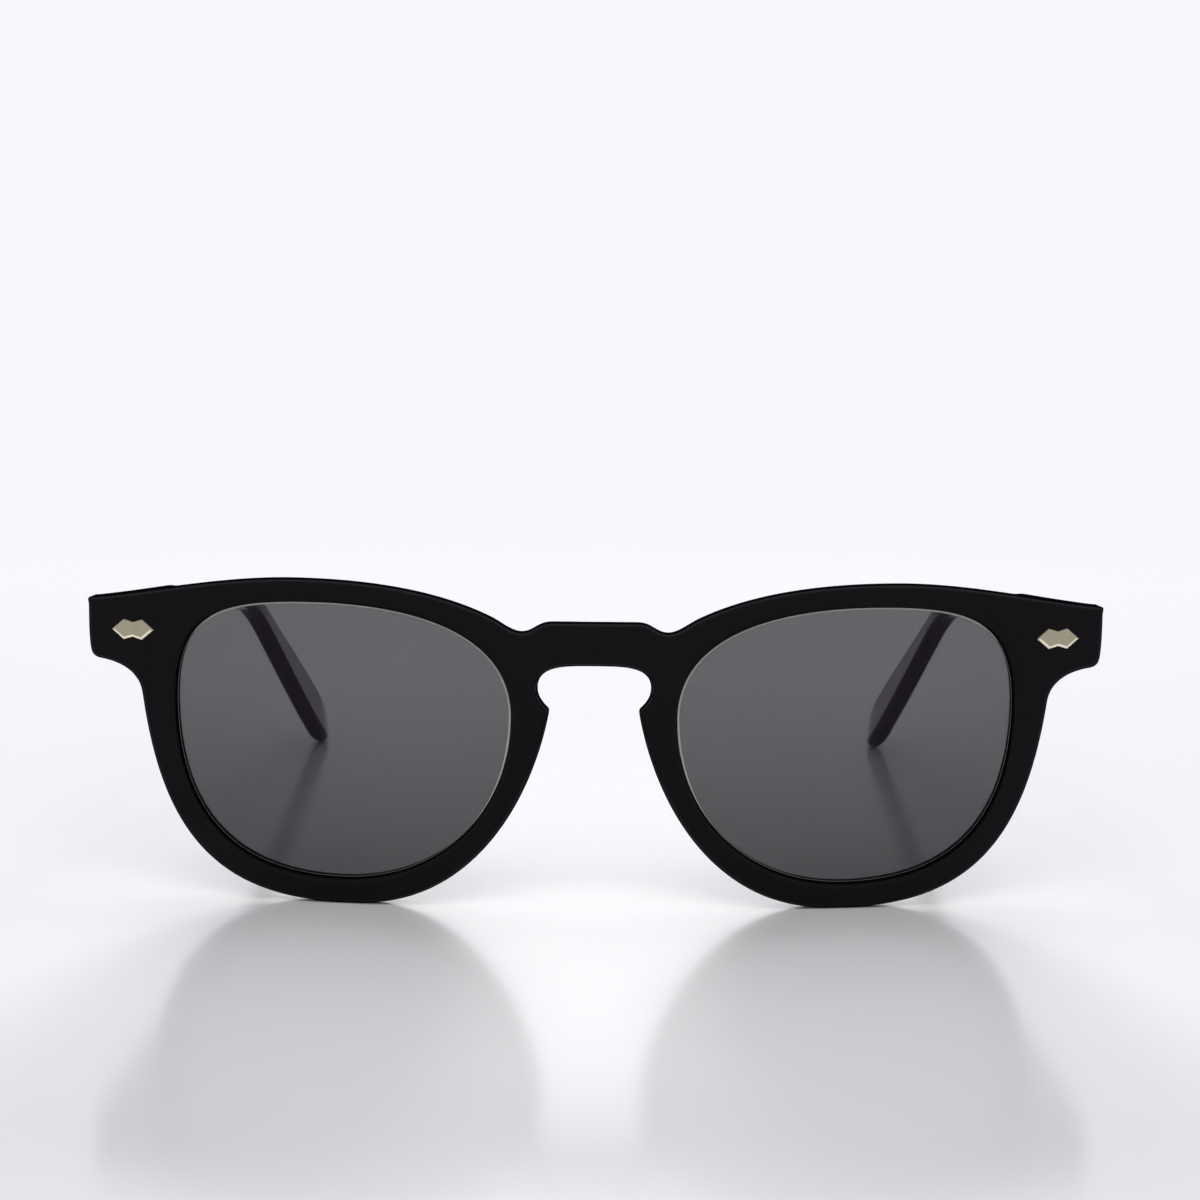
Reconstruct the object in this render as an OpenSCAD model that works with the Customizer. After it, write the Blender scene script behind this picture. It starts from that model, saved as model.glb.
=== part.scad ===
// Square sunglasses with a keyhole bridge, flat lenses and two folding temples.
// Left and right are the wearer's: the left temple is on the +X side.
// The front looks along -Y, +Z is up, and the rims and the temple tips stand on z = 0.
// Outlines are drawn for the +X half and mirrored.

/* [Lens openings] */
// Width of one lens opening
lens_w = 46.5; // [42:0.1:50]
// Height of one lens opening
lens_h = 37.9; // [33:0.1:41]
// Gap between the two lens openings
bridge_w = 22.5; // [20:0.1:26]

/* [Rims and bridge] */
// Thickness of the front sheet
front_t = 4; // [3.6:0.1:5]
// Radius of the bow of the front, seen from above
front_r = 250; // [200:5:400]
// Rim below a lens opening
rim_bottom = 3.4; // [3:0.05:6]
// Rim above a lens opening, at its highest point
rim_top = 3.15; // [2.5:0.05:5]
// Rim beside a lens opening, on the temple side
rim_side = 5; // [4:0.1:7]
// Rim beside a lens opening, at the nose
rim_nose = 5.2; // [4:0.1:6.5]
// Height of the bar of the bridge
bridge_h = 5.9; // [4.5:0.05:7]
// How far the top of the bridge lies below the brow
bridge_drop = 5.35; // [3.5:0.05:7]
// Depth of the notches beside the bridge
notch_h = 1.4; // [0.6:0.05:2]
// Height of the keyhole, from its corners to the bar
keyhole_h = 6.1; // [5.5:0.1:8]
// How far the keyhole widens above its corners
keyhole_bulge = 1.65; // [0.8:0.05:2.2]
// Length of the flat that each rim stands on
rim_flat = 2.4; // [1:0.1:4]

/* [End pieces] */
// How far an end piece reaches beyond its rim
end_reach = 7.8; // [6:0.1:12]
// Height of an end piece
end_h = 8.6; // [7.8:0.1:10]
// How far the end pieces lie below the brow
end_drop = 3.3; // [1.5:0.1:5]
// How far the lug stands out behind the front, at its outer end
lug_t = 0.7; // [0.5:0.1:2]
// Width of the lug, from the hinge to the nose
lug_w = 10.5; // [9.5:0.1:12]

/* [Lenses] */
// Thickness of a lens
lens_t = 1.8; // [1.4:0.1:2]
// How far a lens lies behind the front face
lens_depth = 1.7; // [0.8:0.1:1.8]
// How far the edge of a lens reaches into its groove
bevel_reach = 0.5; // [0.3:0.05:0.8]
// Thickness of that edge
bevel_t = 0.7; // [0.4:0.05:0.9]
// Gap round a lens in its rim
lens_gap = 0.05; // [0.02:0.01:0.08]

/* [Nose pads] */
// Height of a nose pad
pad_h = 15.5; // [12:0.5:17]
// Widest part of a nose pad
pad_w = 3.4; // [2.5:0.1:3.8]
// How far a nose pad stands out behind the rim
pad_t = 4.6; // [3.5:0.1:6]
// How much a nose pad leans outwards
pad_lean = 12; // [5:1:18]

/* [Temples] */
// Thickness of a temple at the hinge
temple_t = 4; // [3.8:0.1:5]
// Thickness of a temple at the tip
tip_t = 3.3; // [2.4:0.1:4]
// Height of a temple at its thinnest, ahead of the ear
temple_waist = 4.6; // [4.5:0.1:7]
// Height of the paddle at the tip
paddle_h = 11.2; // [8:0.2:12]
// Length of the rounded tip behind the paddle
tip_l = 8; // [6:0.5:10]
// Radius of the long edges of a temple
temple_round = 0.6; // [0.4:0.1:0.9]
// Length of a temple from the hinge end to the ear bend
temple_reach = 93; // [85:1:110]
// Slope of a temple down to the ear bend
temple_slope = 2.6; // [1:0.1:4]
// Radius of the ear bend
ear_r = 24; // [14:1:30]
// Slope of a temple behind the ear bend
ear_slope = 45; // [35:1:55]
// How far the part behind the ear bend leans towards the head
ear_lean = 14.5; // [0:0.5:20]
// Length of the straight stretch, seen from above
temple_straight = 20; // [14:1:40]
// Radius of the inward bow behind it
temple_bow = 1200; // [600:50:3000]
// Gap between the hinge end and the lug
butt_gap = 0.05; // [0.03:0.01:0.1]

/* [Core wires] */
// Diameter of a core wire
wire_d = 1.4; // [1:0.1:1.8]
// Distance of the wire's first end from the hinge end of the temple
wire_start = 12; // [11:0.5:16]
// Distance of the wire's last end from where the tip starts to round
wire_end = 3; // [1:0.5:8]
// Gap round a core wire
wire_gap = 0.03; // [0.02:0.01:0.05]

/* [Hinges] */
// Height of a hinge
hinge_h = 6.4; // [5.8:0.1:6.5]
// Outer diameter of the barrels
barrel_d = 3; // [2.8:0.1:3.2]
// Diameter of a hinge screw
screw_d = 1.4; // [1.2:0.1:1.6]
// Diameter of the screw head
head_d = 2.1; // [1.9:0.1:2.3]
// Height of the screw head
head_h = 0.5; // [0.4:0.05:0.6]
// Distance of the hinge axis from the lug and from the temple
axis_off = 1.7; // [1.65:0.05:2]
// Thickness of a hinge leaf
leaf_t = 0.9; // [0.7:0.05:1]
// Width of the leaf in the lug
front_leaf_w = 5.2; // [4.8:0.1:5.4]
// Length of the leaf in the temple
temple_leaf_l = 8; // [7:0.1:9]
// Diameter of the anchors behind a leaf
anchor_d = 1.5; // [1:0.1:1.7]
// Length of the anchors behind a leaf
anchor_l = 1; // [0.6:0.1:1.1]
// Gap between the screw and a barrel
screw_gap = 0.03; // [0.02:0.01:0.06]
// Gap between neighbouring barrels
barrel_gap = 0.06; // [0.04:0.01:0.1]

/* [Plaques] */
// Length of a plaque, from point to point
plaque_w = 6.2; // [4.5:0.1:6.5]
// Height of a plaque
plaque_h = 2.8; // [2:0.1:3.2]
// How far a plaque stands proud
plaque_proud = 0.35; // [0.2:0.05:0.5]
// How deep a plaque is let in
plaque_sunk = 0.4; // [0.3:0.05:0.6]
// Distance of a front plaque from the outer end
plaque_in = 6.8; // [4.6:0.1:7.5]
// How far a front plaque lies above the middle of its end piece
plaque_up = 0; // [-0.6:0.1:0.6]
// Distance of a temple plaque from the hinge end
temple_plaque_in = 6.6; // [5:0.1:9]
// Diameter of the pins behind a plaque
pin_d = 0.9; // [0.7:0.1:1]
// Length of the pins behind a front plaque
front_pin_l = 1.6; // [1:0.1:2]
// Length of the pins behind a temple plaque
temple_pin_l = 0.7; // [0.5:0.1:0.8]
// Distance between the two pins
pin_pitch = 2.2; // [1.8:0.1:2.6]
// Gap round a plaque and its pins
plaque_gap = 0.02; // [0.01:0.01:0.04]

/* [Hidden] */

// Colours
acetate = [0.05, 0.045, 0.05];
tint = [0.36, 0.35, 0.37];
steel = [0.72, 0.72, 0.7];
silver = [0.78, 0.74, 0.64];

// Smoothness of round parts, and steps along one curve of an outline
$fn = 96;
curve_steps = 16;
small_steps = 6;
over = 1;

// Heights of the front
lens_z0 = rim_bottom;
lens_z1 = lens_z0 + lens_h;
brow_z = lens_z1 + rim_top;
bridge_z1 = brow_z - bridge_drop;
bridge_z0 = bridge_z1 - bridge_h;
notch_z = bridge_z1 - notch_h;
nub_z = bridge_z0 - keyhole_h;
end_z1 = brow_z - end_drop;
end_z0 = end_z1 - end_h;

// Places across the front
lens_x0 = bridge_w / 2;
lens_x1 = lens_x0 + lens_w;
side_x = lens_x1 + rim_side;
end_x = side_x + end_reach;
nub_x = lens_x0 - rim_nose;
bulge_x = nub_x + keyhole_bulge;
notch_in = 1.35;
notch_x = lens_x0 - notch_in;

// Places of the highest and the lowest point of a rim, as shares of the width of its opening
brow_share = 0.643;
foot_share = 0.477;
brow_x = lens_x0 + brow_share * lens_w;
foot_x = lens_x0 + foot_share * lens_w;

// Lengths of the slopes beside a notch, and height of the outer one
notch_slope = 4;
notch_rise = 1.85;

// Rounding of the outer corners of an end piece, and the fall of its inner curve
corner_w = 0.55;
corner_h = 0.45;
under_w = 1.6;
under_h = 1.3;
armpit_fall = 4.5;

// Turn at which the rounded tip of a temple ends in a small flat
tip_turn = 80;

// Places front to back, measured from the foremost point of the front
lug_back = bow_depth(end_x) + front_t + lug_t;
temple_y = lug_back + butt_gap;

// Middle line of a temple, seen from the side
temple_z = end_z0 + end_h / 2;
hinge_end_h = end_h - 0.3;
paddle_r = paddle_h / 2;
ear_len = ear_r * (ear_slope - temple_slope) * PI / 180;
ear_y = temple_reach * cos(temple_slope);
ear_z = temple_z - temple_reach * sin(temple_slope);
drop_y = ear_y + ear_r * (sin(ear_slope) - sin(temple_slope));
drop_fall = ear_r * (cos(temple_slope) - cos(ear_slope));

// Stretch behind the ear bend: a first length, and then the one that sets the tip down on z = 0
first_drop = temple_z - paddle_r;
drop_len = first_drop + tip_low(first_drop) / (sin(ear_slope) * cos(ear_lean));
temple_len = temple_reach + ear_len + drop_len;
temple_rings = temple_sections(drop_len);
depth = temple_y + max([for (ring = temple_rings) for (p = ring) p[1]]);

// Middle of the object front to back is y = 0
front_y = -depth / 2;

// Hinge places
axis_x = end_x - temple_t - axis_off;
axis_y = lug_back + axis_off;
hinge_z0 = temple_z - hinge_h / 2;
barrel_count = 5;
barrel_h = (hinge_h - (barrel_count - 1) * barrel_gap) / barrel_count;
neck_w = barrel_d - 0.8;
leaf_x1 = end_x - temple_t - 0.5;
leaf_y0 = lug_back + 0.5;
anchor_pitch = hinge_h - anchor_d - 1.2;

// Corners of a plaque round its middle: points left and right, shallow notches above and below
plaque_shape = [
    [-0.5, 0], [-0.22, 0.5], [0, 0.36], [0.22, 0.5],
    [0.5, 0], [0.22, -0.5], [0, -0.36], [-0.22, -0.5]
];

// How far the front bows back at a place across it
function bow_depth(x) = front_r - sqrt(front_r * front_r - x * x);

// Point at an angle and distance from another
function polar(p, angle, dist) = [p[0] + dist * cos(angle), p[1] + dist * sin(angle)];

// Points of a cubic curve, without its last point
function curve(a, b, c, d, steps = curve_steps) = [
    for (i = [0 : steps - 1])
        let (t = i / steps, u = 1 - t)
            u * u * u * a + 3 * u * u * t * b + 3 * u * t * t * c + t * t * t * d
];

// Smooth step from 0 to 1 between two places
function ease(from, to, s) =
    let (t = min(1, max(0, (s - from) / (to - from)))) t * t * (3 - 2 * t);

// Outline of a lens opening, grown by a margin: four points on its sides, and the handles between
// them, all as fractions of its width and height
function opening(grow = 0) =
    let (
        w = lens_w + 2 * grow,
        h = lens_h + 2 * grow,
        x0 = lens_x0 - grow,
        z0 = lens_z0 - grow,
        nose = [x0, z0 + 0.6 * h],
        top = [x0 + 0.59 * w, z0 + h],
        side = [x0 + w, z0 + 0.64 * h],
        foot = [x0 + 0.492 * w, z0]
    )
    concat(
        curve(nose, nose + [0, 0.29 * h], top - [0.326 * w, 0], top),
        curve(top, top + [0.259 * w, 0], side + [0, 0.32 * h], side),
        curve(side, side - [0, 0.44 * h], foot + [0.325 * w, 0], foot),
        curve(foot, foot - [0.289 * w, 0], nose - [0, 0.349 * h], nose)
    );

// Curve of the front beside the nose, from the foot of the rim to the corner of the keyhole
function nose_curve() =
    let (
        foot = [foot_x - rim_flat / 2, 0],
        nub = [nub_x, nub_z]
    )
    [foot, foot - [0.57 * (foot_x - nub_x), 0], polar(nub, -80, 0.48 * nub_z), nub];

// Outline of the +X half of the front, from the top of the bridge round to its underside
// (each curve: first point, two handles, last point)
function half_outline() =
    let (
        shoulder = [notch_x - notch_slope, bridge_z1],
        notch = [notch_x, notch_z],
        rise = [notch_x + notch_slope, notch_z + notch_rise],
        brow = [brow_x, brow_z],
        corner_top = [end_x - corner_w, end_z1],
        corner_side = [end_x, end_z1 - corner_h],
        corner_low = [end_x - corner_w / 2, end_z0 + under_h],
        corner_under = [end_x - under_w, end_z0],
        armpit = [side_x, end_z0 - armpit_fall],
        foot = [foot_x + rim_flat / 2, 0],
        bulge = [bulge_x, bridge_z0 - keyhole_h / 2],
        n = nose_curve()
    )
    concat(
        [[0, bridge_z1]],
        curve(shoulder, shoulder + [1.8, 0], notch - [1.5, 0], notch, small_steps),
        curve(notch, notch + [1.4, 0], polar(rise, 206, 1.4), rise, small_steps),
        curve(rise, polar(rise, 26, 8.6), brow - [9.7, 0], brow),
        curve(brow, brow + [10.2, 0], polar(corner_top, 174, 9.1), corner_top),
        curve(corner_top, polar(corner_top, -6, 0.6), corner_side + [0, 0.45], corner_side, small_steps),
        curve(corner_side, corner_side - [0, 3], polar(corner_low, 80, 1.6), corner_low, small_steps),
        curve(corner_low, polar(corner_low, -100, 0.8), polar(corner_under, 7, 0.7), corner_under, small_steps),
        curve(corner_under, polar(corner_under, 187, 3.3), polar(armpit, 82, 2.7), armpit, small_steps),
        curve(armpit, polar(armpit, -98, 0.63 * armpit[1]), foot + [0.65 * (side_x - foot_x), 0], foot),
        [foot],
        curve(n[0], n[1], n[2], n[3]),
        curve([nub_x, nub_z], polar([nub_x, nub_z], 46, 1.3), bulge - [0, 1.4], bulge, small_steps),
        curve(bulge, bulge + [0, 3.1], [bulge_x * 0.54, bridge_z0], [0, bridge_z0], 2 * small_steps)
    );

// The same points on the -X side, in reverse order
function mirrored(points) = [for (i = [len(points) - 1 : -1 : 0]) [-points[i][0], points[i][1]]];

// How far the middle of a temple has bowed inwards, at a distance behind the hinge end
function bow_in(y) =
    let (b = max(0, y - temple_straight)) temple_bow - sqrt(temple_bow * temple_bow - b * b);

// Distance behind the hinge end, and fall below the start of the ear bend, at a distance along the temple
function ear_path(s) =
    s < temple_reach + ear_len
        ? let (a = temple_slope + (s - temple_reach) / ear_r * 180 / PI)
            [ear_y + ear_r * (sin(a) - sin(temple_slope)), ear_r * (cos(temple_slope) - cos(a))]
        : let (d = s - temple_reach - ear_len)
            [drop_y + d * cos(ear_slope), drop_fall + d * sin(ear_slope)];

// Middle of a temple at a distance along it: x, distance behind the hinge end, and height
function spine(s) =
    let (
        middle_x = end_x - temple_t / 2,
        ear = ear_path(s),
        y = s * cos(temple_slope)
    )
    s < temple_reach
        ? [middle_x - bow_in(y), y, temple_z - s * sin(temple_slope)]
        : [middle_x - bow_in(ear[0]) - ear[1] * sin(ear_lean), ear[0], ear_z - ear[1] * cos(ear_lean)];

// Three directions at a distance along a temple: along it, outwards and upwards
function spine_frame(s) =
    let (
        step = 0.05,
        lean = ear_lean * ease(temple_reach - 12, temple_reach + ear_len, s),
        ahead = spine(s + step) - spine(s - step),
        along = ahead / norm(ahead),
        level = [cos(lean), 0, -sin(lean)],
        across = level - (level * along) * along,
        out = across / norm(across)
    )
    s < step ? [[0, 1, 0], [1, 0, 0], [0, 0, 1]] : [along, out, cross(out, along)];

// Half the thickness and half the height of a temple at a distance along it
function half_size(s, len) =
    let (
        past = min(sin(tip_turn), max(0, s - len) / tip_l),
        end = sqrt(1 - past * past),
        t = temple_t / 2 + (tip_t - temple_t) / 2 * ease(0, temple_reach, s),
        h = hinge_end_h / 2
            + (temple_waist - hinge_end_h) / 2 * ease(0, temple_reach, s)
            + (paddle_h - temple_waist) / 2 * ease(temple_reach + ear_len / 3, len + 1, s)
    )
    [t * sqrt(1 - pow(past, 3)), h * end];

// Corners of the rounded section of a temple at a distance along it
function section(s, len) =
    let (
        p = spine(s),
        f = spine_frame(s),
        half = half_size(s, len),
        r = min(temple_round, 0.8 * half[0], 0.8 * half[1])
    )
    [for (q = [[1, 1], [1, -1], [-1, -1], [-1, 1]])
        for (a = q[0] * q[1] > 0 ? [90, 45, 0] : [0, 45, 90])
            p + q[0] * (half[0] - r + r * cos(a)) * f[1] + q[1] * (half[1] - r + r * sin(a)) * f[2]];

// Sections of a temple from the hinge end to the tip, for a length behind the ear bend
function temple_sections(drop) =
    let (
        reach_steps = 12,
        ear_steps = 8,
        drop_steps = 8,
        tip_steps = 6,
        drop_start = temple_reach + ear_len,
        len = drop_start + drop
    )
    [for (s = concat(
        [for (i = [0 : reach_steps - 1]) temple_reach * i / reach_steps],
        [for (i = [0 : ear_steps - 1]) temple_reach + ear_len * i / ear_steps],
        [for (i = [0 : drop_steps - 1]) drop_start + drop * i / drop_steps],
        [for (i = [0 : tip_steps]) len + tip_l * sin(tip_turn * i / tip_steps)]
    )) section(s, len)];

// Height of the lowest corner of a temple, for a length behind the ear bend
function tip_low(drop) = min([for (ring = temple_sections(drop)) for (p = ring) p[2]]);

// Keeps a +X piece on the left, or mirrors it to the right
module on(side) mirror([side == "right" ? 1 : 0, 0, 0]) children();

// Prism along Y of an outline in x and z, between two distances behind the foremost point
module face_prism(points, from, to)
    translate([0, front_y + to, 0]) rotate([90, 0, 0]) linear_extrude(to - from) polygon(points);

// Upright drum whose wall follows the bow of the front, at a distance behind the front face
module bow_drum(behind)
    translate([0, front_y + front_r, -over])
        cylinder(h = brow_z + 2 * over, r = front_r - behind, $fn = 360);

// Curved sheet between two distances behind the front face
module bow_sheet(points, from, to, deep) intersection() {
    face_prism(points, -over, deep);
    difference() {
        bow_drum(from);
        bow_drum(to);
    }
}

// Thickening behind an end piece that carries the hinge
module lug() translate([0, front_y, end_z0 - 1.2]) linear_extrude(end_h + 10) polygon([
    [end_x - lug_w - 2.5, bow_depth(end_x - lug_w) + front_t - 2],
    [end_x - lug_w, lug_back],
    [end_x + over, lug_back],
    [end_x + over, bow_depth(end_x - lug_w) + front_t - 2]
]);

// Solid between the outline of the front, its bowed face and its back
module front_blank() intersection() {
    face_prism(concat(half_outline(), mirrored(half_outline())), -over, lug_back);
    difference() {
        bow_drum(0);
        difference() {
            bow_drum(front_t);
            lug();
            mirror([1, 0, 0]) lug();
        }
    }
}

// Outline of a plaque, grown by a margin
function plaque_outline(grow) = [
    for (p = plaque_shape) [p[0] * (plaque_w + 2 * grow), p[1] * (plaque_h + 2 * grow)]
];

// Two pins of a plaque, grown by a margin
module plaque_pins(pin_l, gap = 0)
    for (x = [-pin_pitch / 2, pin_pitch / 2])
        translate([x, 0, -plaque_sunk - pin_l - gap])
            cylinder(h = pin_l + gap + 0.2, d = pin_d + 2 * gap, $fn = 32);

// Plaque lying in x and y with its face up and its seat at z = 0
module plaque(pin_l) {
    translate([0, 0, -plaque_sunk]) linear_extrude(plaque_sunk + plaque_proud) polygon(plaque_outline(0));
    plaque_pins(pin_l);
}

// Room for a plaque and its pins
module plaque_seat(pin_l) {
    translate([0, 0, -plaque_sunk]) linear_extrude(3 * over) polygon(plaque_outline(plaque_gap));
    plaque_pins(pin_l, plaque_gap);
}

// Puts a plaque on the bowed face of an end piece
module on_end_piece() {
    x = end_x - plaque_in;
    translate([x, front_y + bow_depth(x), temple_z + plaque_up])
        rotate([0, 0, asin(x / front_r)]) rotate([90, 0, 0]) children();
}

// Puts a plaque on the outer face of a temple
module on_temple_side()
    translate([end_x, front_y + temple_y + temple_plaque_in, temple_z - temple_plaque_in * sin(temple_slope)])
        rotate([-temple_slope, 0, 0]) rotate([90, 0, 90]) children();

// Leaf of the hinge that lies in the lug, grown by a margin
module front_leaf(gap = 0) {
    translate([leaf_x1 - front_leaf_w - gap, front_y + lug_back - leaf_t, hinge_z0 - gap])
        cube([front_leaf_w + 2 * gap, leaf_t, hinge_h + 2 * gap]);
    for (z = [-anchor_pitch / 2, anchor_pitch / 2])
        translate([leaf_x1 - front_leaf_w / 2, front_y + lug_back - leaf_t + 0.1, temple_z + z])
            rotate([90, 0, 0]) cylinder(h = anchor_l + 0.1 + gap, d = anchor_d + 2 * gap, $fn = 32);
}

// Leaf of the hinge that lies in the temple, grown by a margin
module temple_leaf(gap = 0) {
    inner_x = end_x - temple_t;
    translate([inner_x, front_y + leaf_y0 - gap, hinge_z0 - gap])
        cube([leaf_t, temple_leaf_l + 2 * gap, hinge_h + 2 * gap]);
    for (y = [0.28, 0.78])
        translate([inner_x + leaf_t - 0.1, front_y + leaf_y0 + y * temple_leaf_l, temple_z])
            rotate([0, 90, 0]) cylinder(h = anchor_l + 0.1 + gap, d = anchor_d + 2 * gap, $fn = 32);
}

// Height at which a barrel starts, counted from the lowest
function barrel_z(i) = hinge_z0 + i * (barrel_h + barrel_gap);

// One barrel of the hinge, with its screw hole
module barrel(i) translate([axis_x, front_y + axis_y, barrel_z(i)]) difference() {
    cylinder(h = barrel_h, d = barrel_d, $fn = 48);
    translate([0, 0, -over]) cylinder(h = barrel_h + 2 * over, d = screw_d + 2 * screw_gap, $fn = 48);
}

// Room for the screw through a whole hinge half
module screw_hole() translate([axis_x, front_y + axis_y, hinge_z0 - over])
    cylinder(h = hinge_h + 2 * over, d = screw_d + 2 * screw_gap, $fn = 48);

// Room for the screw head in the highest barrel
module head_hole() translate([axis_x, front_y + axis_y, hinge_z0 + hinge_h - head_h])
    cylinder(h = head_h + over, d = head_d + 2 * screw_gap, $fn = 48);

// Front hinge: leaf with the first, third and fifth barrel
module front_hinge() difference() {
    union() {
        front_leaf();
        for (i = [0 : 2 : barrel_count - 1]) {
            barrel(i);
            translate([axis_x - neck_w / 2, front_y + lug_back - 0.2, barrel_z(i)])
                cube([neck_w, axis_off + 0.2, barrel_h]);
        }
    }
    screw_hole();
    head_hole();
}

// Temple hinge: leaf with the second and fourth barrel
module temple_hinge() difference() {
    union() {
        temple_leaf();
        for (i = [1 : 2 : barrel_count - 1]) {
            barrel(i);
            translate([axis_x, front_y + axis_y - neck_w / 2, barrel_z(i)])
                cube([axis_off + 0.2, neck_w, barrel_h]);
        }
    }
    screw_hole();
}

// Hinge screw with a slotted head, put in from above
module hinge_screw() translate([axis_x, front_y + axis_y, hinge_z0]) difference() {
    union() {
        cylinder(h = hinge_h - head_h, d = screw_d, $fn = 48);
        translate([0, 0, hinge_h - head_h]) cylinder(h = head_h, d = head_d, $fn = 48);
    }
    translate([-head_d, -0.2, hinge_h - head_h / 2]) cube([2 * head_d, 0.4, head_h]);
}

// Lens with a thinner edge that lies in the groove of the rim
module lens() {
    edge_from = lens_depth + (lens_t - bevel_t) / 2;
    bow_sheet(opening(-lens_gap), lens_depth, lens_depth + lens_t, lug_back);
    bow_sheet(opening(bevel_reach), edge_from, edge_from + bevel_t, lug_back);
}

// Lens opening through the front, with its groove
module lens_seat() {
    edge_from = lens_depth + (lens_t - bevel_t) / 2;
    face_prism(opening(), -2 * over, lug_back + over);
    bow_sheet(opening(bevel_reach + lens_gap), edge_from - lens_gap, edge_from + bevel_t + lens_gap, lug_back);
}

// Nose pad: a crescent along the nose side of the rim, domed behind it
module nose_pad() {
    n = nose_curve();
    all = curve(n[0], n[1], n[2], n[3], 60);
    part = [for (p = all) if (p[1] > nub_z - pad_h && p[1] < nub_z - 0.3) p];
    last = len(part) - 1;
    slant = (part[last] - part[0]) / norm(part[last] - part[0]);
    out = [slant[1], -slant[0]];
    edge = [for (p = part) p + 0.15 * out];
    belly = [for (i = [last : -1 : 0]) part[i] + (0.15 + pad_w * pow(sin(180 * i / last), 0.7)) * out];
    middle = (part[0] + part[last]) / 2;
    chord = norm(part[last] - part[0]) / 2;
    dome_r = (chord * chord + pad_t * pad_t) / (2 * pad_t);
    back = bow_depth(middle[0]) + front_t;
    intersection() {
        translate([middle[0], front_y + back, 0]) rotate([0, 0, -pad_lean])
            translate([-middle[0], -front_y - back, 0])
                face_prism(concat(edge, belly), back - 3, back + pad_t + over);
        translate([middle[0], front_y + back + pad_t - dome_r, middle[1]]) sphere(r = dome_r, $fn = 96);
        bow_drum(front_t);
    }
}

// Closed solid through rings of points that all have the same number of corners
module loft(rings) {
    n = len(rings[0]);
    last = len(rings) - 1;
    polyhedron(
        points = [for (ring = rings) each ring],
        faces = concat(
            [[for (k = [0 : n - 1]) k]],
            [[for (k = [n - 1 : -1 : 0]) last * n + k]],
            [for (i = [0 : last - 1]) for (k = [0 : n - 1])
                [i * n + k, (i + 1) * n + k, (i + 1) * n + (k + 1) % n]],
            [for (i = [0 : last - 1]) for (k = [0 : n - 1])
                [i * n + k, (i + 1) * n + (k + 1) % n, i * n + (k + 1) % n]]
        )
    );
}

// Solid of a temple without its seats
module temple_blank() translate([0, front_y + temple_y, 0]) loft(temple_rings);

// Tube along the middle of a temple
module core_tube(d) {
    sides = 8;
    count = 30;
    from = wire_start - (d - wire_d) / 2;
    to = temple_len - wire_end + (d - wire_d) / 2;
    translate([0, front_y + temple_y, 0]) loft([
        for (i = [0 : count])
            let (s = from + (to - from) * i / count, f = spine_frame(s))
            [for (k = [0 : sides - 1])
                let (a = -(k + 0.5) * 360 / sides) spine(s) + d / 2 * (cos(a) * f[1] + sin(a) * f[2])]
    ]);
}

// Temple with the seats of its hinge leaf, plaque and core wire
module temple() difference() {
    temple_blank();
    temple_leaf(plaque_gap);
    on_temple_side() plaque_seat(temple_pin_l);
    core_tube(wire_d + 2 * wire_gap);
}

// Front with the seats of the lenses, hinge leaves and plaques
module front() color(acetate) difference() {
    front_blank();
    for (side = ["left", "right"]) on(side) {
        lens_seat();
        front_leaf(plaque_gap);
        on_end_piece() plaque_seat(front_pin_l);
    }
}

module right_lens() color(tint, 0.8) on("right") lens();
module left_lens() color(tint, 0.8) on("left") lens();
module right_nose_pad() color(acetate) on("right") nose_pad();
module left_nose_pad() color(acetate) on("left") nose_pad();
module right_front_plaque() color(silver) on("right") on_end_piece() plaque(front_pin_l);
module left_front_plaque() color(silver) on("left") on_end_piece() plaque(front_pin_l);
module right_front_hinge() color(steel) on("right") front_hinge();
module left_front_hinge() color(steel) on("left") front_hinge();
module right_hinge_screw() color(steel) on("right") hinge_screw();
module left_hinge_screw() color(steel) on("left") hinge_screw();
module right_temple() color(acetate) on("right") temple();
module left_temple() color(acetate) on("left") temple();
module right_core_wire() color(steel) on("right") core_tube(wire_d);
module left_core_wire() color(steel) on("left") core_tube(wire_d);
module right_temple_hinge() color(steel) on("right") temple_hinge();
module left_temple_hinge() color(steel) on("left") temple_hinge();
module right_temple_plaque() color(silver) on("right") on_temple_side() plaque(temple_pin_l);
module left_temple_plaque() color(silver) on("left") on_temple_side() plaque(temple_pin_l);

front();
right_lens();
left_lens();
right_nose_pad();
left_nose_pad();
right_front_plaque();
left_front_plaque();
right_front_hinge();
left_front_hinge();
right_hinge_screw();
left_hinge_screw();
right_temple();
left_temple();
right_core_wire();
left_core_wire();
right_temple_hinge();
left_temple_hinge();
right_temple_plaque();
left_temple_plaque();
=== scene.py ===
"""Looks of the square sunglasses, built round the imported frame.

Sizes are in millimetres, as in the part's source, and become metres when a mesh is built.
The front looks along -Y, +Z is up and +X is the wearer's left.
"""
import logging
import math
from dataclasses import dataclass, field
from enum import Enum
from typing import Callable, Optional, Sequence, Union

import bmesh
import bpy
import numpy as np
from mathutils import Matrix, Vector
from mathutils.geometry import delaunay_2d_cdt


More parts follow.
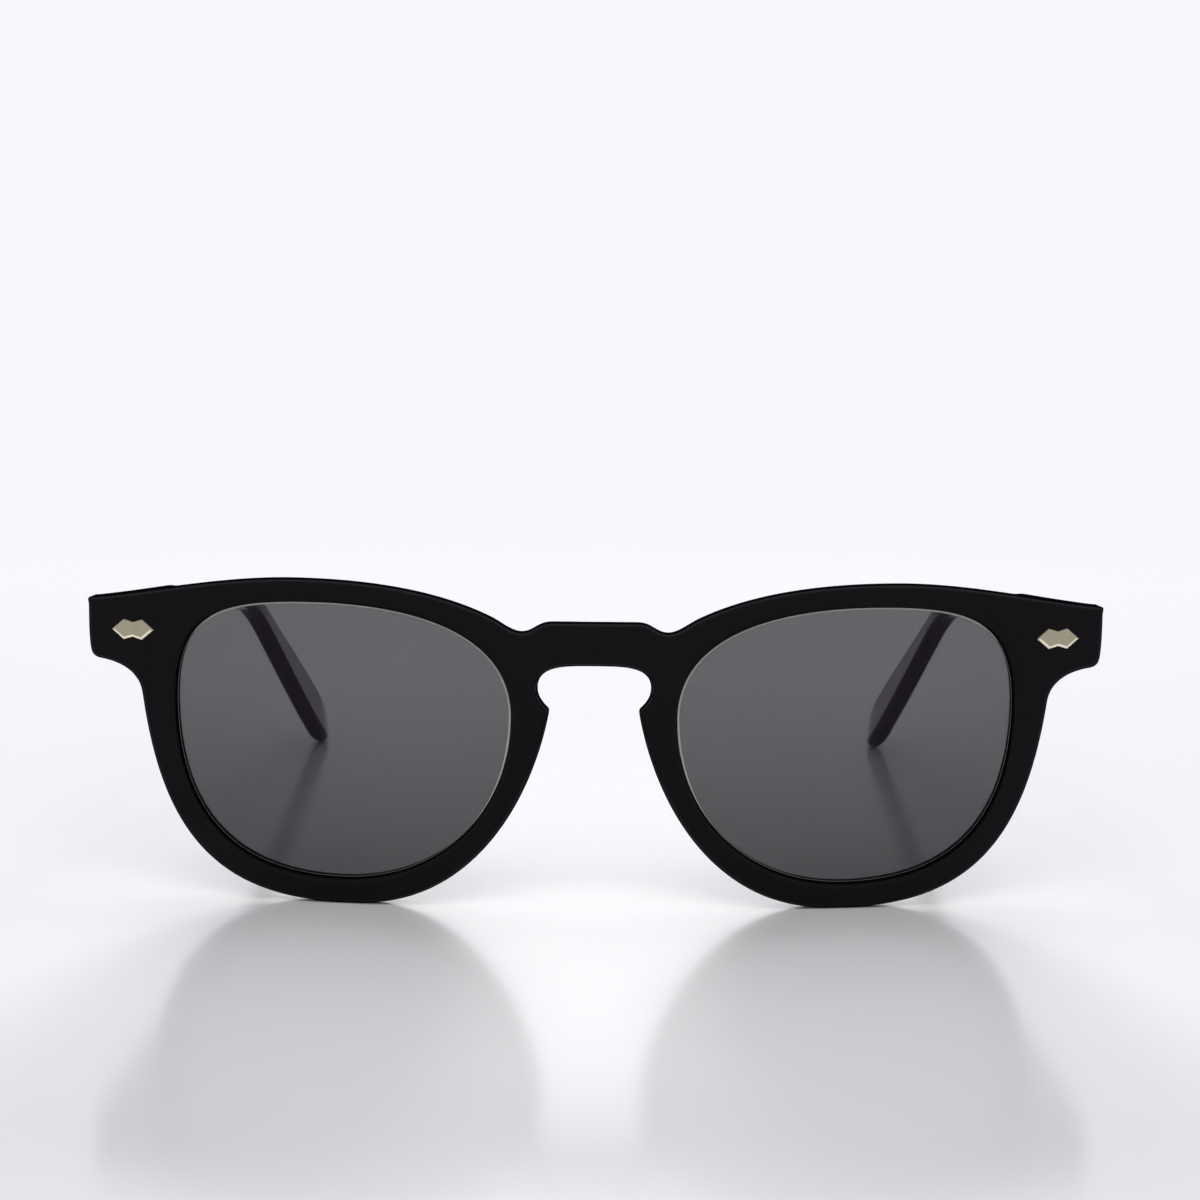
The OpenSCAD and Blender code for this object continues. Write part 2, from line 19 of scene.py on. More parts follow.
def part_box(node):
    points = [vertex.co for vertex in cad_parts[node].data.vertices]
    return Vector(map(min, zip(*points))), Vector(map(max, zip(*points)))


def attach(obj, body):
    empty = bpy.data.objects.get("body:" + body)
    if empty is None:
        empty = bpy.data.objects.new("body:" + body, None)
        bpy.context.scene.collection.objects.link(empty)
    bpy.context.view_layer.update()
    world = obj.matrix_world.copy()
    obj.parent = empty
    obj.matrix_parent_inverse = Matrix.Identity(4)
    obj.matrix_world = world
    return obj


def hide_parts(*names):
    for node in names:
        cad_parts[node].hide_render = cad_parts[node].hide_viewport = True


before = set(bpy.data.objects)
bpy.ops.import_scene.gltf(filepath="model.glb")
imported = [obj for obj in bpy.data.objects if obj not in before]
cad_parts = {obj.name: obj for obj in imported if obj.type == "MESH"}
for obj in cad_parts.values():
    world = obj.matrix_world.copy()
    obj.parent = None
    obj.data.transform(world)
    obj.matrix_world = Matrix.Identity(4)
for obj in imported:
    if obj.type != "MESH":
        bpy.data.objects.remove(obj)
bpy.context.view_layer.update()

MM = 0.001
# Points closer than this, in millimetres, are one point
NEAR = 1e-4
# Sockets of a Mix node that hold colours
MIX_COLOURS = (6, 7)
MIX_RESULT = 2
Points = np.ndarray
Number = Union[int, float]
Colour = tuple[float, float, float]

log = logging.getLogger("sunglasses")


class Side(Enum):
    """The two sides of the glasses, named for the wearer."""

    LEFT = "left"
    RIGHT = "right"

    @property
    def sign(self) -> int:
        """Sign of x on this side."""
        return 1 if self is Side.LEFT else -1


class Slot(Enum):
    """Material slots of the record."""

    ACETATE = "black_acetate"
    LENS = "grey_lens"
    STEEL = "hinge_steel"
    PLAQUE = "plaque_silver"


class Grazing(Enum):
    """How polished acetate looks where it is seen at a grazing angle."""

    DARK = "dark"
    SHINY = "shiny"


# Shader maths


class Value:
    """A shader socket that Python's operators work on."""

    def __init__(self, tree: "Tree", socket: bpy.types.NodeSocket) -> None:
        """Wraps a socket of a tree."""
        self.tree = tree
        self.socket = socket

    def _math(self, operation: str, first: "Input", second: "Input") -> "Value":
        """Adds a Math node.

        Args:
            operation: The node's operation.
            first: First value.
            second: Second value.

        Returns:
            The node's result.
        """
        settings = {"operation": operation}
        return self.tree.add("ShaderNodeMath", settings, {0: first, 1: second}).out()

    def __add__(self, other: "Input") -> "Value":
        """self + other"""
        return self._math("ADD", self, other)

    def __radd__(self, other: "Input") -> "Value":
        """other + self"""
        return self._math("ADD", other, self)

    def __sub__(self, other: "Input") -> "Value":
        """self - other"""
        return self._math("SUBTRACT", self, other)

    def __rsub__(self, other: "Input") -> "Value":
        """other - self"""
        return self._math("SUBTRACT", other, self)

    def __mul__(self, other: "Input") -> "Value":
        """self * other"""
        return self._math("MULTIPLY", self, other)

    def __rmul__(self, other: "Input") -> "Value":
        """other * self"""
        return self._math("MULTIPLY", other, self)

    def smooth(self, low: float, high: float) -> "Value":
        """Smooth step of this value.

        Args:
            low: Where the step starts.
            high: Where it ends.

        Returns:
            0 below low, 1 above high.
        """
        settings = {"interpolation_type": "SMOOTHSTEP"}
        values = {"Value": self, "From Min": low, "From Max": high}
        return self.tree.add("ShaderNodeMapRange", settings, values).out("Result")


Input = Union[Value, Number, Sequence[float]]


class Placed:
    """A node that was added to a tree."""

    def __init__(self, tree: "Tree", node: bpy.types.Node) -> None:
        """Wraps a node of a tree."""
        self.tree = tree
        self.node = node

    def out(self, name: Union[str, int] = 0) -> Value:
        """One output of the node."""
        return Value(self.tree, self.node.outputs[name])


class Tree:
    """Nodes of one material or of the world."""

    def __init__(self, owner: Union[bpy.types.Material, bpy.types.World]) -> None:
        """Empties a node tree.

        Args:
            owner: The material or world that it belongs to.
        """
        owner.use_nodes = True
        self.nodes = owner.node_tree.nodes
        self.links = owner.node_tree.links
        self.nodes.clear()

    def add(self, kind: str, settings: dict, values: dict) -> Placed:
        """Adds a node.

        Args:
            kind: Type of the node.
            settings: Its settings, which are set first.
            values: Its sockets, by name or number, with numbers or links.

        Returns:
            The node.
        """
        node = self.nodes.new(kind)
        for name, setting in settings.items():
            setattr(node, name, setting)
        for name, value in values.items():
            socket = node.inputs[name]
            if isinstance(value, Value):
                self.links.new(value.socket, socket)
            elif isinstance(value, (int, float)):
                socket.default_value = value
            else:
                filled = (*value, 1) if len(value) < len(socket.default_value) else value
                socket.default_value = filled
        return Placed(self, node)

    def place(self, stretch: Sequence[float] = (1, 1, 1)) -> Value:
        """Place on the object in metres, stretched along its axes."""
        spot = self.add("ShaderNodeTexCoord", {}, {}).out("Object")
        return self.add("ShaderNodeVectorMath", {"operation": "MULTIPLY"}, {0: spot, 1: stretch}).out()

    def noise(self, place: Value, scale: float, detail: float = 2.0) -> Value:
        """Noise between 0 and 1.

        Args:
            place: Where it is read.
            scale: Waves per metre.
            detail: Octaves.

        Returns:
            The noise's value.
        """
        values = {"Vector": place, "Scale": scale, "Detail": detail}
        return self.add("ShaderNodeTexNoise", {}, values).out("Fac")

    def blend(self, share: Value, low: Colour, high: Colour) -> Value:
        """Colour between two colours.

        Args:
            share: 0 for the first colour, 1 for the second.
            low: First colour.
            high: Second colour.

        Returns:
            The colour.
        """
        values = {0: share, MIX_COLOURS[0]: low, MIX_COLOURS[1]: high}
        return self.add("ShaderNodeMix", {"data_type": "RGBA"}, values).out(MIX_RESULT)

    def bump(self, height: Value, distance: float) -> Value:
        """Normal that follows a height.

        Args:
            height: Height between 0 and 1.
            distance: Depth of the relief in metres.

        Returns:
            The normal.
        """
        return self.add("ShaderNodeBump", {}, {"Height": height, "Distance": distance}).out()

    def surface(self, shader: Placed) -> None:
        """Ends a material in a shader."""
        self.add("ShaderNodeOutputMaterial", {}, {"Surface": shader.out()})


def new_material(name: str) -> tuple[bpy.types.Material, Tree]:
    """Makes an empty material.

    Args:
        name: Its name.

    Returns:
        The material and its tree.
    """
    material = bpy.data.materials.new(name)
    return material, Tree(material)


@dataclass(frozen=True)
class PolishedAcetate:
    """Black acetate, tumbled to a high gloss."""

    dark: Colour = (0.0022, 0.0014, 0.0022)
    light: Colour = (0.0035, 0.0023, 0.0034)
    roughness: float = 0.06
    roughness_spread: float = 0.03
    specular: float = 0.08
    wave: float = 0.000004
    cloud_scale: float = 90
    haze_scale: float = 420
    dark_span: tuple[float, float] = (0.42, 0.66)
    shine: Colour = (0.9, 0.9, 0.92)
    shine_span: tuple[float, float] = (0.72, 0.92)
    shine_share: float = 0.6

    def material(self, name: str, grazing: Grazing) -> bpy.types.Material:
        """Faint clouding in colour and gloss over shallow polishing waves.

        Args:
            name: Name of the material.
            grazing: How it looks at a grazing angle.

        Returns:
            The material.
        """
        material, tree = new_material(name)
        place = tree.place()
        cloud = tree.noise(place, self.cloud_scale, 3)
        haze = tree.noise(place, self.haze_scale)
        colour = tree.blend(cloud, self.dark, self.light)
        gloss = tree.add("ShaderNodeBsdfPrincipled", {}, {
            "Base Color": colour,
            "Roughness": self.roughness + self.roughness_spread * (haze - 0.5),
            "IOR": 1.48,
            "Specular IOR Level": self.specular,
            "Normal": tree.bump(cloud, self.wave),
        })
        facing = tree.add("ShaderNodeLayerWeight", {}, {"Blend": 0.5}).out("Facing")
        if grazing is Grazing.DARK:
            share = facing.smooth(*self.dark_span)
            values = {"Base Color": colour, "Roughness": 0.6, "Specular IOR Level": 0.0}
        else:
            share = self.shine_share * facing.smooth(*self.shine_span)
            values = {"Base Color": self.shine, "Roughness": 0.08, "Metallic": 1.0}
        edge = tree.add("ShaderNodeBsdfPrincipled", {}, values)
        tree.surface(tree.add("ShaderNodeMixShader", {}, {0: share, 1: gloss.out(), 2: edge.out()}))
        return material


@dataclass(frozen=True)
class SmokedLens:
    """Grey lens: two polished surfaces that each hold back a share of the light.

    The share grows towards the foot of the lens.
    """

    colour: Colour = (0.008, 0.0045, 0.0105)
    cover_top: float = 0.645
    cover_foot: float = 0.715
    foot: float = 0.004
    top: float = 0.034
    roughness: float = 0.02
    specular: float = 0.08
    shade_scale: float = 30
    unevenness: float = 0.01

    def material(self) -> bpy.types.Material:
        """Faintly graded tint with an even gloss and a trace of unevenness in the cast sheet.

        Returns:
            The material.
        """
        material, tree = new_material("smoked_lens")
        place = tree.place()
        shade = tree.noise(place, self.shade_scale, 1)
        height = tree.add("ShaderNodeSeparateXYZ", {}, {0: place}).out("Z")
        cover = self.cover_foot + (self.cover_top - self.cover_foot) * height.smooth(self.foot, self.top)
        shader = tree.add("ShaderNodeBsdfPrincipled", {}, {
            "Base Color": self.colour,
            "Roughness": self.roughness,
            "IOR": 1.5,
            "Specular IOR Level": self.specular,
            "Alpha": cover + self.unevenness * (shade - 0.5),
        })
        tree.surface(shader)
        return material


@dataclass(frozen=True)
class GroundEdgeWithPaintedGlow:
    """Narrow ground edge of a lens, with a painted glow along it."""

    dark: Colour = (0.3, 0.3, 0.27)
    light: Colour = (0.45, 0.45, 0.41)
    led: Colour = (1.0, 1.0, 0.96)
    led_strength: float = 0.14
    mark_scale: float = 1500
    mark_depth: float = 0.000004

    def material(self) -> bpy.types.Material:
        """Pale and matt, with the marks of grinding and a faint painted glow.

        Returns:
            The material.
        """
        material, tree = new_material("ground_edge")
        marks = tree.noise(tree.place(), self.mark_scale)
        shader = tree.add("ShaderNodeBsdfPrincipled", {}, {
            "Base Color": tree.blend(marks, self.dark, self.light),
            "Roughness": 0.45,
            # Painted glow: emission on the edge, which is no lamp
            "Emission Color": self.led,
            "Emission Strength": self.led_strength,
            "Normal": tree.bump(marks, self.mark_depth),
        })
        tree.surface(shader)
        return material


@dataclass(frozen=True)
class Metal:
    """Brushed or turned metal."""

    name: str
    dark: Colour
    light: Colour
    roughness: float
    grain: tuple[float, float, float]
    metallic: float = 1.0
    depth: float = 0.000004
    spread: float = 0.1
    line_scale: float = 2500
    cloud_scale: float = 500
    line_share: float = 0.6

    def material(self) -> bpy.types.Material:
        """Fine grain along one direction in colour, gloss and relief.

        Returns:
            The material.
        """
        material, tree = new_material(self.name)
        lines = tree.noise(tree.place(self.grain), self.line_scale)
        cloud = tree.noise(tree.place(), self.cloud_scale)
        share = self.line_share * lines + (1 - self.line_share) * cloud
        shader = tree.add("ShaderNodeBsdfPrincipled", {}, {
            "Base Color": tree.blend(share, self.dark, self.light),
            "Metallic": self.metallic,
            "Roughness": self.roughness + self.spread * (cloud - 0.5),
            "Normal": tree.bump(lines, self.depth),
        })
        tree.surface(shader)
        return material


ACROSS_GRAIN = (0.2, 1, 1)
STEEL = Metal("satin_steel", (0.5, 0.5, 0.49), (0.66, 0.66, 0.64), 0.28, (1, 1, 0.15))
SILVER = Metal("satin_silver", (0.3, 0.275, 0.19), (0.42, 0.39, 0.275), 0.42, ACROSS_GRAIN, 0.35)
# Lighter silver: a painted highlight on the plaque sides that face down
SILVER_PAINTED_HIGHLIGHT = Metal("bright_silver", (0.8, 0.76, 0.58), (0.95, 0.9, 0.7), 0.3, ACROSS_GRAIN, 0.6, 0.000002)


# Sizes, as in the part's source


@dataclass(frozen=True)
class Bow:
    """The bowed sheet that the front is cut from."""

    radius: float = 250.0
    thickness: float = 4.0

    def at(self, x: Points, behind: float = 0.0) -> Points:
        """How far a layer of the sheet lies behind the foremost point.

        Args:
            x: Places across the front.
            behind: How far the layer lies behind the face.

        Returns:
            One distance for each place.
        """
        return self.radius - np.sqrt((self.radius - behind) ** 2 - x ** 2)

    def inward(self, x: Points) -> Points:
        """Direction square to the face, into the sheet."""
        lean = x / self.radius
        return np.stack([-lean, np.sqrt(1 - lean ** 2), np.zeros_like(lean)], -1)

    def across(self, x: Points) -> Points:
        """Direction along the face towards +X."""
        lean = x / self.radius
        return np.stack([np.sqrt(1 - lean ** 2), lean, np.zeros_like(lean)], -1)

    def layer(self, flat: Points, behind: float) -> Points:
        """Points on a layer of the sheet.

        Args:
            flat: Points in x and z.
            behind: How far the layer lies behind the face.

        Returns:
            Points in x, y and z.
        """
        return np.stack([flat[:, 0], self.at(flat[:, 0], behind), flat[:, 1]], -1)


def curve(a: Points, b: Points, c: Points, d: Points, steps: int) -> list[Points]:
    """Points of a cubic curve.

    Args:
        a: First point.
        b: First handle.
        c: Second handle.
        d: Last point, which isn't returned.
        steps: Number of points.

    Returns:
        The points.
    """
    a, b, c, d = (np.asarray(p, float) for p in (a, b, c, d))
    found = []
    for i in range(steps):
        t = i / steps
        u = 1 - t
        found.append(u ** 3 * a + 3 * u * u * t * b + 3 * u * t * t * c + t ** 3 * d)
    return found


def polar(point: Points, angle: float, distance: float) -> Points:
    """Point at an angle in degrees and a distance from another."""
    turn = math.radians(angle)
    return np.asarray(point, float) + distance * np.array([math.cos(turn), math.sin(turn)])


def ease(start: float, end: float, at: Union[float, Points]) -> Union[float, Points]:
    """Smooth step from 0 to 1 between two places."""
    share = np.clip((at - start) / (end - start), 0, 1)
    return share * share * (3 - 2 * share)


def unit(vectors: Points) -> Points:
    """The vectors along the last axis, each with a length of 1."""
    return vectors / np.maximum(np.linalg.norm(vectors, axis=-1, keepdims=True), 1e-9)


@dataclass(frozen=True)
class FrontOutline:
    """Outline of the front and of its lens openings, in x and z."""

    lens_w: float = 46.5
    lens_h: float = 37.9
    bridge_w: float = 22.5
    rim_bottom: float = 3.4
    rim_top: float = 3.15
    rim_side: float = 5.0
    rim_nose: float = 5.2
    bridge_h: float = 5.9
    bridge_drop: float = 5.35
    notch_h: float = 1.4
    keyhole_h: float = 6.1
    keyhole_bulge: float = 1.65
    rim_flat: float = 2.4
    foot_at: float = 0.477
    end_reach: float = 7.8
    end_h: float = 8.6
    end_drop: float = 3.3
    notch_slope: float = 4.0
    notch_rise: float = 1.85
    corner_w: float = 0.55
    corner_h: float = 0.45
    under_w: float = 1.6
    under_h: float = 1.3
    armpit_fall: float = 4.5

    @property
    def lens_x0(self) -> float:
        """Nose side of the +X opening."""
        return self.bridge_w / 2

    @property
    def brow_z(self) -> float:
        """Highest point."""
        return self.rim_bottom + self.lens_h + self.rim_top

    @property
    def side_x(self) -> float:
        """Outer side of a rim."""
        return self.lens_x0 + self.lens_w + self.rim_side

    @property
    def end_x(self) -> float:
        """Outer end of the +X end piece."""
        return self.side_x + self.end_reach

    @property
    def end_z0(self) -> float:
        """Underside of the end pieces."""
        return self.brow_z - self.end_drop - self.end_h

    @property
    def foot_x(self) -> float:
        """Place of the flat that the +X rim stands on."""
        return self.lens_x0 + self.foot_at * self.lens_w

    @property
    def nub(self) -> Points:
        """Corner of the keyhole."""
        bridge_z0 = self.brow_z - self.bridge_drop - self.bridge_h
        return np.array([self.lens_x0 - self.rim_nose, bridge_z0 - self.keyhole_h])

    def opening(self, steps: int = 48) -> Points:
        """Outline of the +X lens opening, clockwise, with handles in shares of its size.

        Args:
            steps: Points in each quarter.

        Returns:
            The points.
        """
        x0, z0, w, h = self.lens_x0, self.rim_bottom, self.lens_w, self.lens_h
        nose = np.array([x0, z0 + 0.6 * h])
        top = np.array([x0 + 0.59 * w, z0 + h])
        side = np.array([x0 + w, z0 + 0.64 * h])
        foot = np.array([x0 + 0.492 * w, z0])
        across, up = np.array([w, 0]), np.array([0, h])
        return np.array(
            curve(nose, nose + 0.29 * up, top - 0.326 * across, top, steps)
            + curve(top, top + 0.259 * across, side + 0.32 * up, side, steps)
            + curve(side, side - 0.44 * up, foot + 0.325 * across, foot, steps)
            + curve(foot, foot - 0.289 * across, nose - 0.349 * up, nose, steps)
        )

    def nose_curve(self, steps: int) -> list[Points]:
        """Curve beside the nose, from the foot of the rim to the corner of the keyhole.

        Args:
            steps: Number of points.

        Returns:
            The points, without the last.
        """
        foot = np.array([self.foot_x - self.rim_flat / 2, 0])
        nub = self.nub
        lead = foot - [0.57 * (self.foot_x - nub[0]), 0]
        return curve(foot, lead, polar(nub, -80, 0.48 * nub[1]), nub, steps)

    def half(self, steps: int = 40) -> Points:
        """Outline of the +X half, from the top of the bridge round to its underside.

        The handles of its curves are in millimetres and degrees, as in the part's source.

        Args:
            steps: Points in each long curve.

        Returns:
            The points.
        """
        few = steps // 3
        bridge_z1 = self.brow_z - self.bridge_drop
        bridge_z0 = bridge_z1 - self.bridge_h
        end_z0, end_z1, end_x = self.end_z0, self.end_z0 + self.end_h, self.end_x
        nub = self.nub
        bulge = np.array([nub[0] + self.keyhole_bulge, bridge_z0 - self.keyhole_h / 2])
        notch = np.array([self.lens_x0 - 1.35, bridge_z1 - self.notch_h])
        shoulder = np.array([notch[0] - self.notch_slope, bridge_z1])
        rise = notch + [self.notch_slope, self.notch_rise]
        brow = np.array([self.lens_x0 + 0.643 * self.lens_w, self.brow_z])
        corner_top = np.array([end_x - self.corner_w, end_z1])
        corner_side = np.array([end_x, end_z1 - self.corner_h])
        corner_low = np.array([end_x - self.corner_w / 2, end_z0 + self.under_h])
        corner_under = np.array([end_x - self.under_w, end_z0])
        armpit = np.array([self.side_x, end_z0 - self.armpit_fall])
        foot = np.array([self.foot_x + self.rim_flat / 2, 0])
        foot_lead = foot + [0.65 * (self.side_x - self.foot_x), 0]
        top = np.array([0, bridge_z1])
        return np.array(
            [top + (shoulder - top) * i / few for i in range(few)]
            + curve(shoulder, shoulder + [1.8, 0], notch - [1.5, 0], notch, few)
            + curve(notch, notch + [1.4, 0], polar(rise, 206, 1.4), rise, few)
            + curve(rise, polar(rise, 26, 8.6), brow - [9.7, 0], brow, steps)
            + curve(brow, brow + [10.2, 0], polar(corner_top, 174, 9.1), corner_top, steps)
            + curve(corner_top, polar(corner_top, -6, 0.6), corner_side + [0, 0.45], corner_side, few)
            + curve(corner_side, corner_side - [0, 3], polar(corner_low, 80, 1.6), corner_low, few)
            + curve(corner_low, polar(corner_low, -100, 0.8), polar(corner_under, 7, 0.7), corner_under, few)
            + curve(corner_under, polar(corner_under, 187, 3.3), polar(armpit, 82, 2.7), armpit, few)
            + curve(armpit, polar(armpit, -98, 0.63 * armpit[1]), foot_lead, foot, steps)
            + [foot]
            + self.nose_curve(steps)
            + curve(nub, polar(nub, 46, 1.3), bulge - [0, 1.4], bulge, few)
            + curve(bulge, bulge + [0, 3.1], [bulge[0] * 0.54, bridge_z0], [0, bridge_z0], few)
        )

    def whole(self) -> Points:
        """Outline of the whole front, anticlockwise.

        Returns:
            The points.
        """
        half = self.half()
        other = half[::-1] * [-1, 1]
        return np.concatenate([half, other[:-1]])[::-1]


@dataclass
class Contour:
    """A closed outline with even steps.

    It has its points, the direction that it faces at each, and how far its edge may be rounded there.
    """

    points: Points
    outward: Points
    limit: Points

    def inset(self, distance: Points) -> Points:
        """The outline moved into the material."""
        return self.points - np.asarray(distance)[..., None] * self.outward

    def mirrored(self) -> "Contour":
        """The same outline on the other side."""
        flip = np.array([-1, 1])
        return Contour(self.points[::-1] * flip, self.outward[::-1] * flip, self.limit[::-1])


def soften(values: Points, width: float) -> Points:
    """Smooths values round a closed loop with a Gaussian.

    Args:
        values: One row for each point.
        width: Width of the Gaussian, in points.

    Returns:
        The smoothed values.
    """
    waves = np.fft.rfftfreq(len(values))
    kernel = np.exp(-2 * (math.pi * width * waves) ** 2)
    shape = (-1,) + (1,) * (values.ndim - 1)
    return np.fft.irfft(np.fft.rfft(values, axis=0) * kernel.reshape(shape), len(values), axis=0)


def contour(polygon: Points, step: float, softness: float, radius: float) -> Contour:
    """Makes an evenly stepped outline that has the material on its left.

    Args:
        polygon: Corners of the outline.
        step: Distance between the new points.
        softness: Width over which corners are softened.
        radius: Radius of the edge along the outline, less where a corner is tighter.

    Returns:
        The outline.
    """
    # At a tight corner the edge's radius shrinks to a share of the corner's own, over a short
    # stretch on both sides; the work is done on points that lie four times closer
    tightest = 0.75
    reached = 0.35
    blended = 0.25
    every = 4
    closed = np.concatenate([polygon, polygon[:1]])
    gone = np.concatenate([[0], np.cumsum(np.linalg.norm(np.diff(closed, axis=0), axis=1))])
    count = every * int(round(gone[-1] / step))
    fine = gone[-1] / count
    along = np.arange(count) * fine
    dense = np.stack([np.interp(along, gone, closed[:, k]) for k in (0, 1)], 1)
    dense = soften(dense, softness / fine)
    ahead = unit(np.roll(dense, -1, 0) - np.roll(dense, 1, 0))
    turn = (np.roll(ahead, -1, 0) - np.roll(ahead, 1, 0)) / (2 * fine)
    outward = np.stack([ahead[:, 1], -ahead[:, 0]], 1)
    bend = -(turn * outward).sum(1)
    limit = np.minimum(radius, tightest / np.maximum(bend, 1e-3))
    reach = int(round(reached / fine))
    limit = np.min([np.roll(limit, k) for k in range(-reach, reach + 1)], axis=0)
    limit = soften(limit, blended / fine)
    return Contour(dense[::every], outward[::every], limit[::every])


# Meshes


class Draft:
    """A mesh in the making: points in millimetres, and faces with a normal at each corner."""

    def __init__(self) -> None:
        """Starts empty."""
        self.points: list[Points] = []
        self.faces: list[tuple[Points, Points, int]] = []
        self.count = 0

    def add(self, points: Points, normals: Optional[Points], faces: Points, tone: int = 0) -> None:
        """Adds points and faces that are wound alike, and turns them the way their normals point.

        Args:
            points: Points in x, y and z.
            normals: One normal for each point, or None for flat faces.
            faces: Rows of three or four point numbers.
            tone: Number of their finish.
        """
        corners = points[faces]
        flat = np.cross(corners[:, 1] - corners[:, 0], corners[:, 2] - corners[:, 0])
        if faces.shape[1] == 4:
            flat = np.cross(corners[:, 2] - corners[:, 0], corners[:, 3] - corners[:, 1])
        if normals is None:
            lit = np.repeat(unit(flat)[:, None], faces.shape[1], 1)
        else:
            lit = normals[faces]
            # One choice for all of them, so that neighbours stay wound alike
            agreed = (lit.mean(1) * flat).sum(1)
            if agreed.sum() < 0:
                faces, lit, flat, agreed = faces[:, ::-1], lit[:, ::-1], -flat, -agreed
            # A face that folds back over its neighbours gets its own direction as its normal
            lit = np.where((agreed < 0)[:, None, None], unit(flat)[:, None], lit)
        self.points.append(points)
        self.faces.append((faces + self.count, lit, tone))
        self.count += len(points)

    def strip(self, rows: Sequence[Points], normals: Sequence[Points],
              closed: bool = True, tone: int = 0) -> None:
        """Adds faces between rows of points.

        Args:
            rows: Rows with the same number of points.
            normals: Normals of those points.
            closed: Whether the rows are loops.
            tone: Number of their finish.
        """
        width = len(rows[0])
        last = width if closed else width - 1
        k = np.arange(last)
        after = (k + 1) % width
        quads = [np.stack([i * width + k, i * width + after, (i + 1) * width + after, (i + 1) * width + k], 1)
                 for i in range(len(rows) - 1)]
        self.add(np.concatenate(rows), np.concatenate(normals), np.concatenate(quads), tone)

    def fan(self, ring: Points, normal: Points) -> None:
        """Closes a ring with a fan round its middle.

        Args:
            ring: Points of the ring.
            normal: Normal of the cap.
        """
        count = len(ring)
        points = np.concatenate([ring, ring.mean(0)[None]])
        k = np.arange(count)
        faces = np.stack([k, (k + 1) % count, np.full(count, count)], 1)
        self.add(points, np.repeat(np.asarray(normal, float)[None], count + 1, 0), faces)

    def mirrored(self) -> "Draft":
        """The same mesh on the other side.

        Returns:
            The mesh.
        """
        flip = np.array([-1, 1, 1])
        other = Draft()
        other.points = [p * flip for p in self.points]
        other.faces = [(faces[:, ::-1], lit[:, ::-1] * flip, tone) for faces, lit, tone in self.faces]
        other.count = self.count
        return other

    def on(self, side: Side) -> "Draft":
        """This mesh, which is made for the +X side, on either side."""
        return self if side is Side.LEFT else self.mirrored()

    def move_back(self, distance: float) -> None:
        """Moves the mesh along +Y."""
        self.points = [points + [0, distance, 0] for points in self.points]

    def build(self, name: str, *materials: bpy.types.Material) -> bpy.types.Object:
        """Joins points that coincide and makes the object.

        Args:
            name: Name of the piece.
            materials: Its finishes, by number.

        Returns:
            The object, in metres.
        """
        points = np.concatenate(self.points)
        keys = np.round(points / NEAR).astype(np.int64)
        _, first, number = np.unique(keys, axis=0, return_index=True, return_inverse=True)
        number = number.reshape(-1)
        polygons: list[list[int]] = []
        tones: list[int] = []
        lit: list[Points] = []
        for faces, normals, tone in self.faces:
            for corners, directions in zip(number[faces], normals):
                kept = [i for i in range(len(corners)) if corners[i] != corners[i - 1]]
                if len(kept) > 2 and len({corners[i] for i in kept}) == len(kept):
                    polygons.append([int(corners[i]) for i in kept])
                    tones.append(tone)
                    lit.extend(directions[i] for i in kept)
        mesh = bpy.data.meshes.new(name)
        mesh.from_pydata((points[first] * MM).tolist(), [], polygons)
        mesh.polygons.foreach_set("use_smooth", [True] * len(mesh.polygons))
        piece = new_piece(name, mesh, *materials)
        mesh.polygons.foreach_set("material_index", tones)
        mesh.normals_split_custom_set([Vector(n).normalized() for n in lit])
        return piece


def new_piece(name: str, mesh: bpy.types.Mesh, *materials: bpy.types.Material) -> bpy.types.Object:
    """Makes an object of a mesh.

    Args:
        name: Name of the object.
        mesh: Its mesh.
        materials: Its materials.

    Returns:
        The object.
    """
    for material in materials:
        mesh.materials.append(material)
    piece = bpy.data.objects.new(name, mesh)
    bpy.context.scene.collection.objects.link(piece)
    return piece


def settle(piece: bpy.types.Object, body: str, slot: Slot, *nodes: str) -> None:
    """Puts a piece on its body in place of its nodes, and reports it.

    Args:
        piece: The piece.
        body: The body that it moves with.
        slot: The record's slot of its finish; not used.
        nodes: The nodes that it stands for.
    """
    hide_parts(*nodes)
    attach(piece, body)
    log.info("%s on %s: %d faces", piece.name, body, len(piece.data.polygons))


def inside(points: Points, loop: Points) -> Points:
    """Tells which points lie inside a closed loop.

    Args:
        points: Points in two dimensions.
        loop: Corners of the loop.

    Returns:
        One truth value for each point.
    """
    found = np.zeros(len(points), bool)
    for a, b in zip(loop, np.roll(loop, -1, 0)):
        if a[1] != b[1]:
            crosses = (points[:, 1] > a[1]) != (points[:, 1] > b[1])
            at = a[0] + (points[:, 1] - a[1]) * (b[0] - a[0]) / (b[1] - a[1])
            found ^= crosses & (points[:, 0] < at)
    return found


def fill(outer: Points, holes: Sequence[Points], spots: Points) -> tuple[Points, Points]:
    """Fills an outline that has holes with triangles.

    Args:
        outer: Outer loop.
        holes: Loops that stay open.
        spots: Further points, of which those inside and clear of the loops are used.

    Returns:
        The points and the triangles.
    """
    clearance = 0.5
    loops = [outer, *holes]
    edges = []
    start = 0
    for loop in loops:
        count = len(loop)
        edges += [(start + i, start + (i + 1) % count) for i in range(count)]
        start += count
    rim = np.concatenate(loops)

    def filled(points: Points) -> Points:
        """Tells which points lie inside the outline and outside its holes."""
        return inside(points, outer) & ~np.any([inside(points, hole) for hole in holes], axis=0)

    spots = spots[filled(spots)]
    clear = np.array([((rim - spot) ** 2).sum(1).min() > clearance ** 2 for spot in spots], bool)
    points = np.concatenate([rim, spots[clear]])
    flat, _, triangles, source, _, _ = delaunay_2d_cdt([Vector(p) for p in points], edges, [], 0, 1e-6)
    known = np.array([points[ids[0]] if ids else list(at) for ids, at in zip(source, flat)])
    faces = np.array([list(t) for t in triangles])
    return known, faces[filled(known[faces].mean(1))]


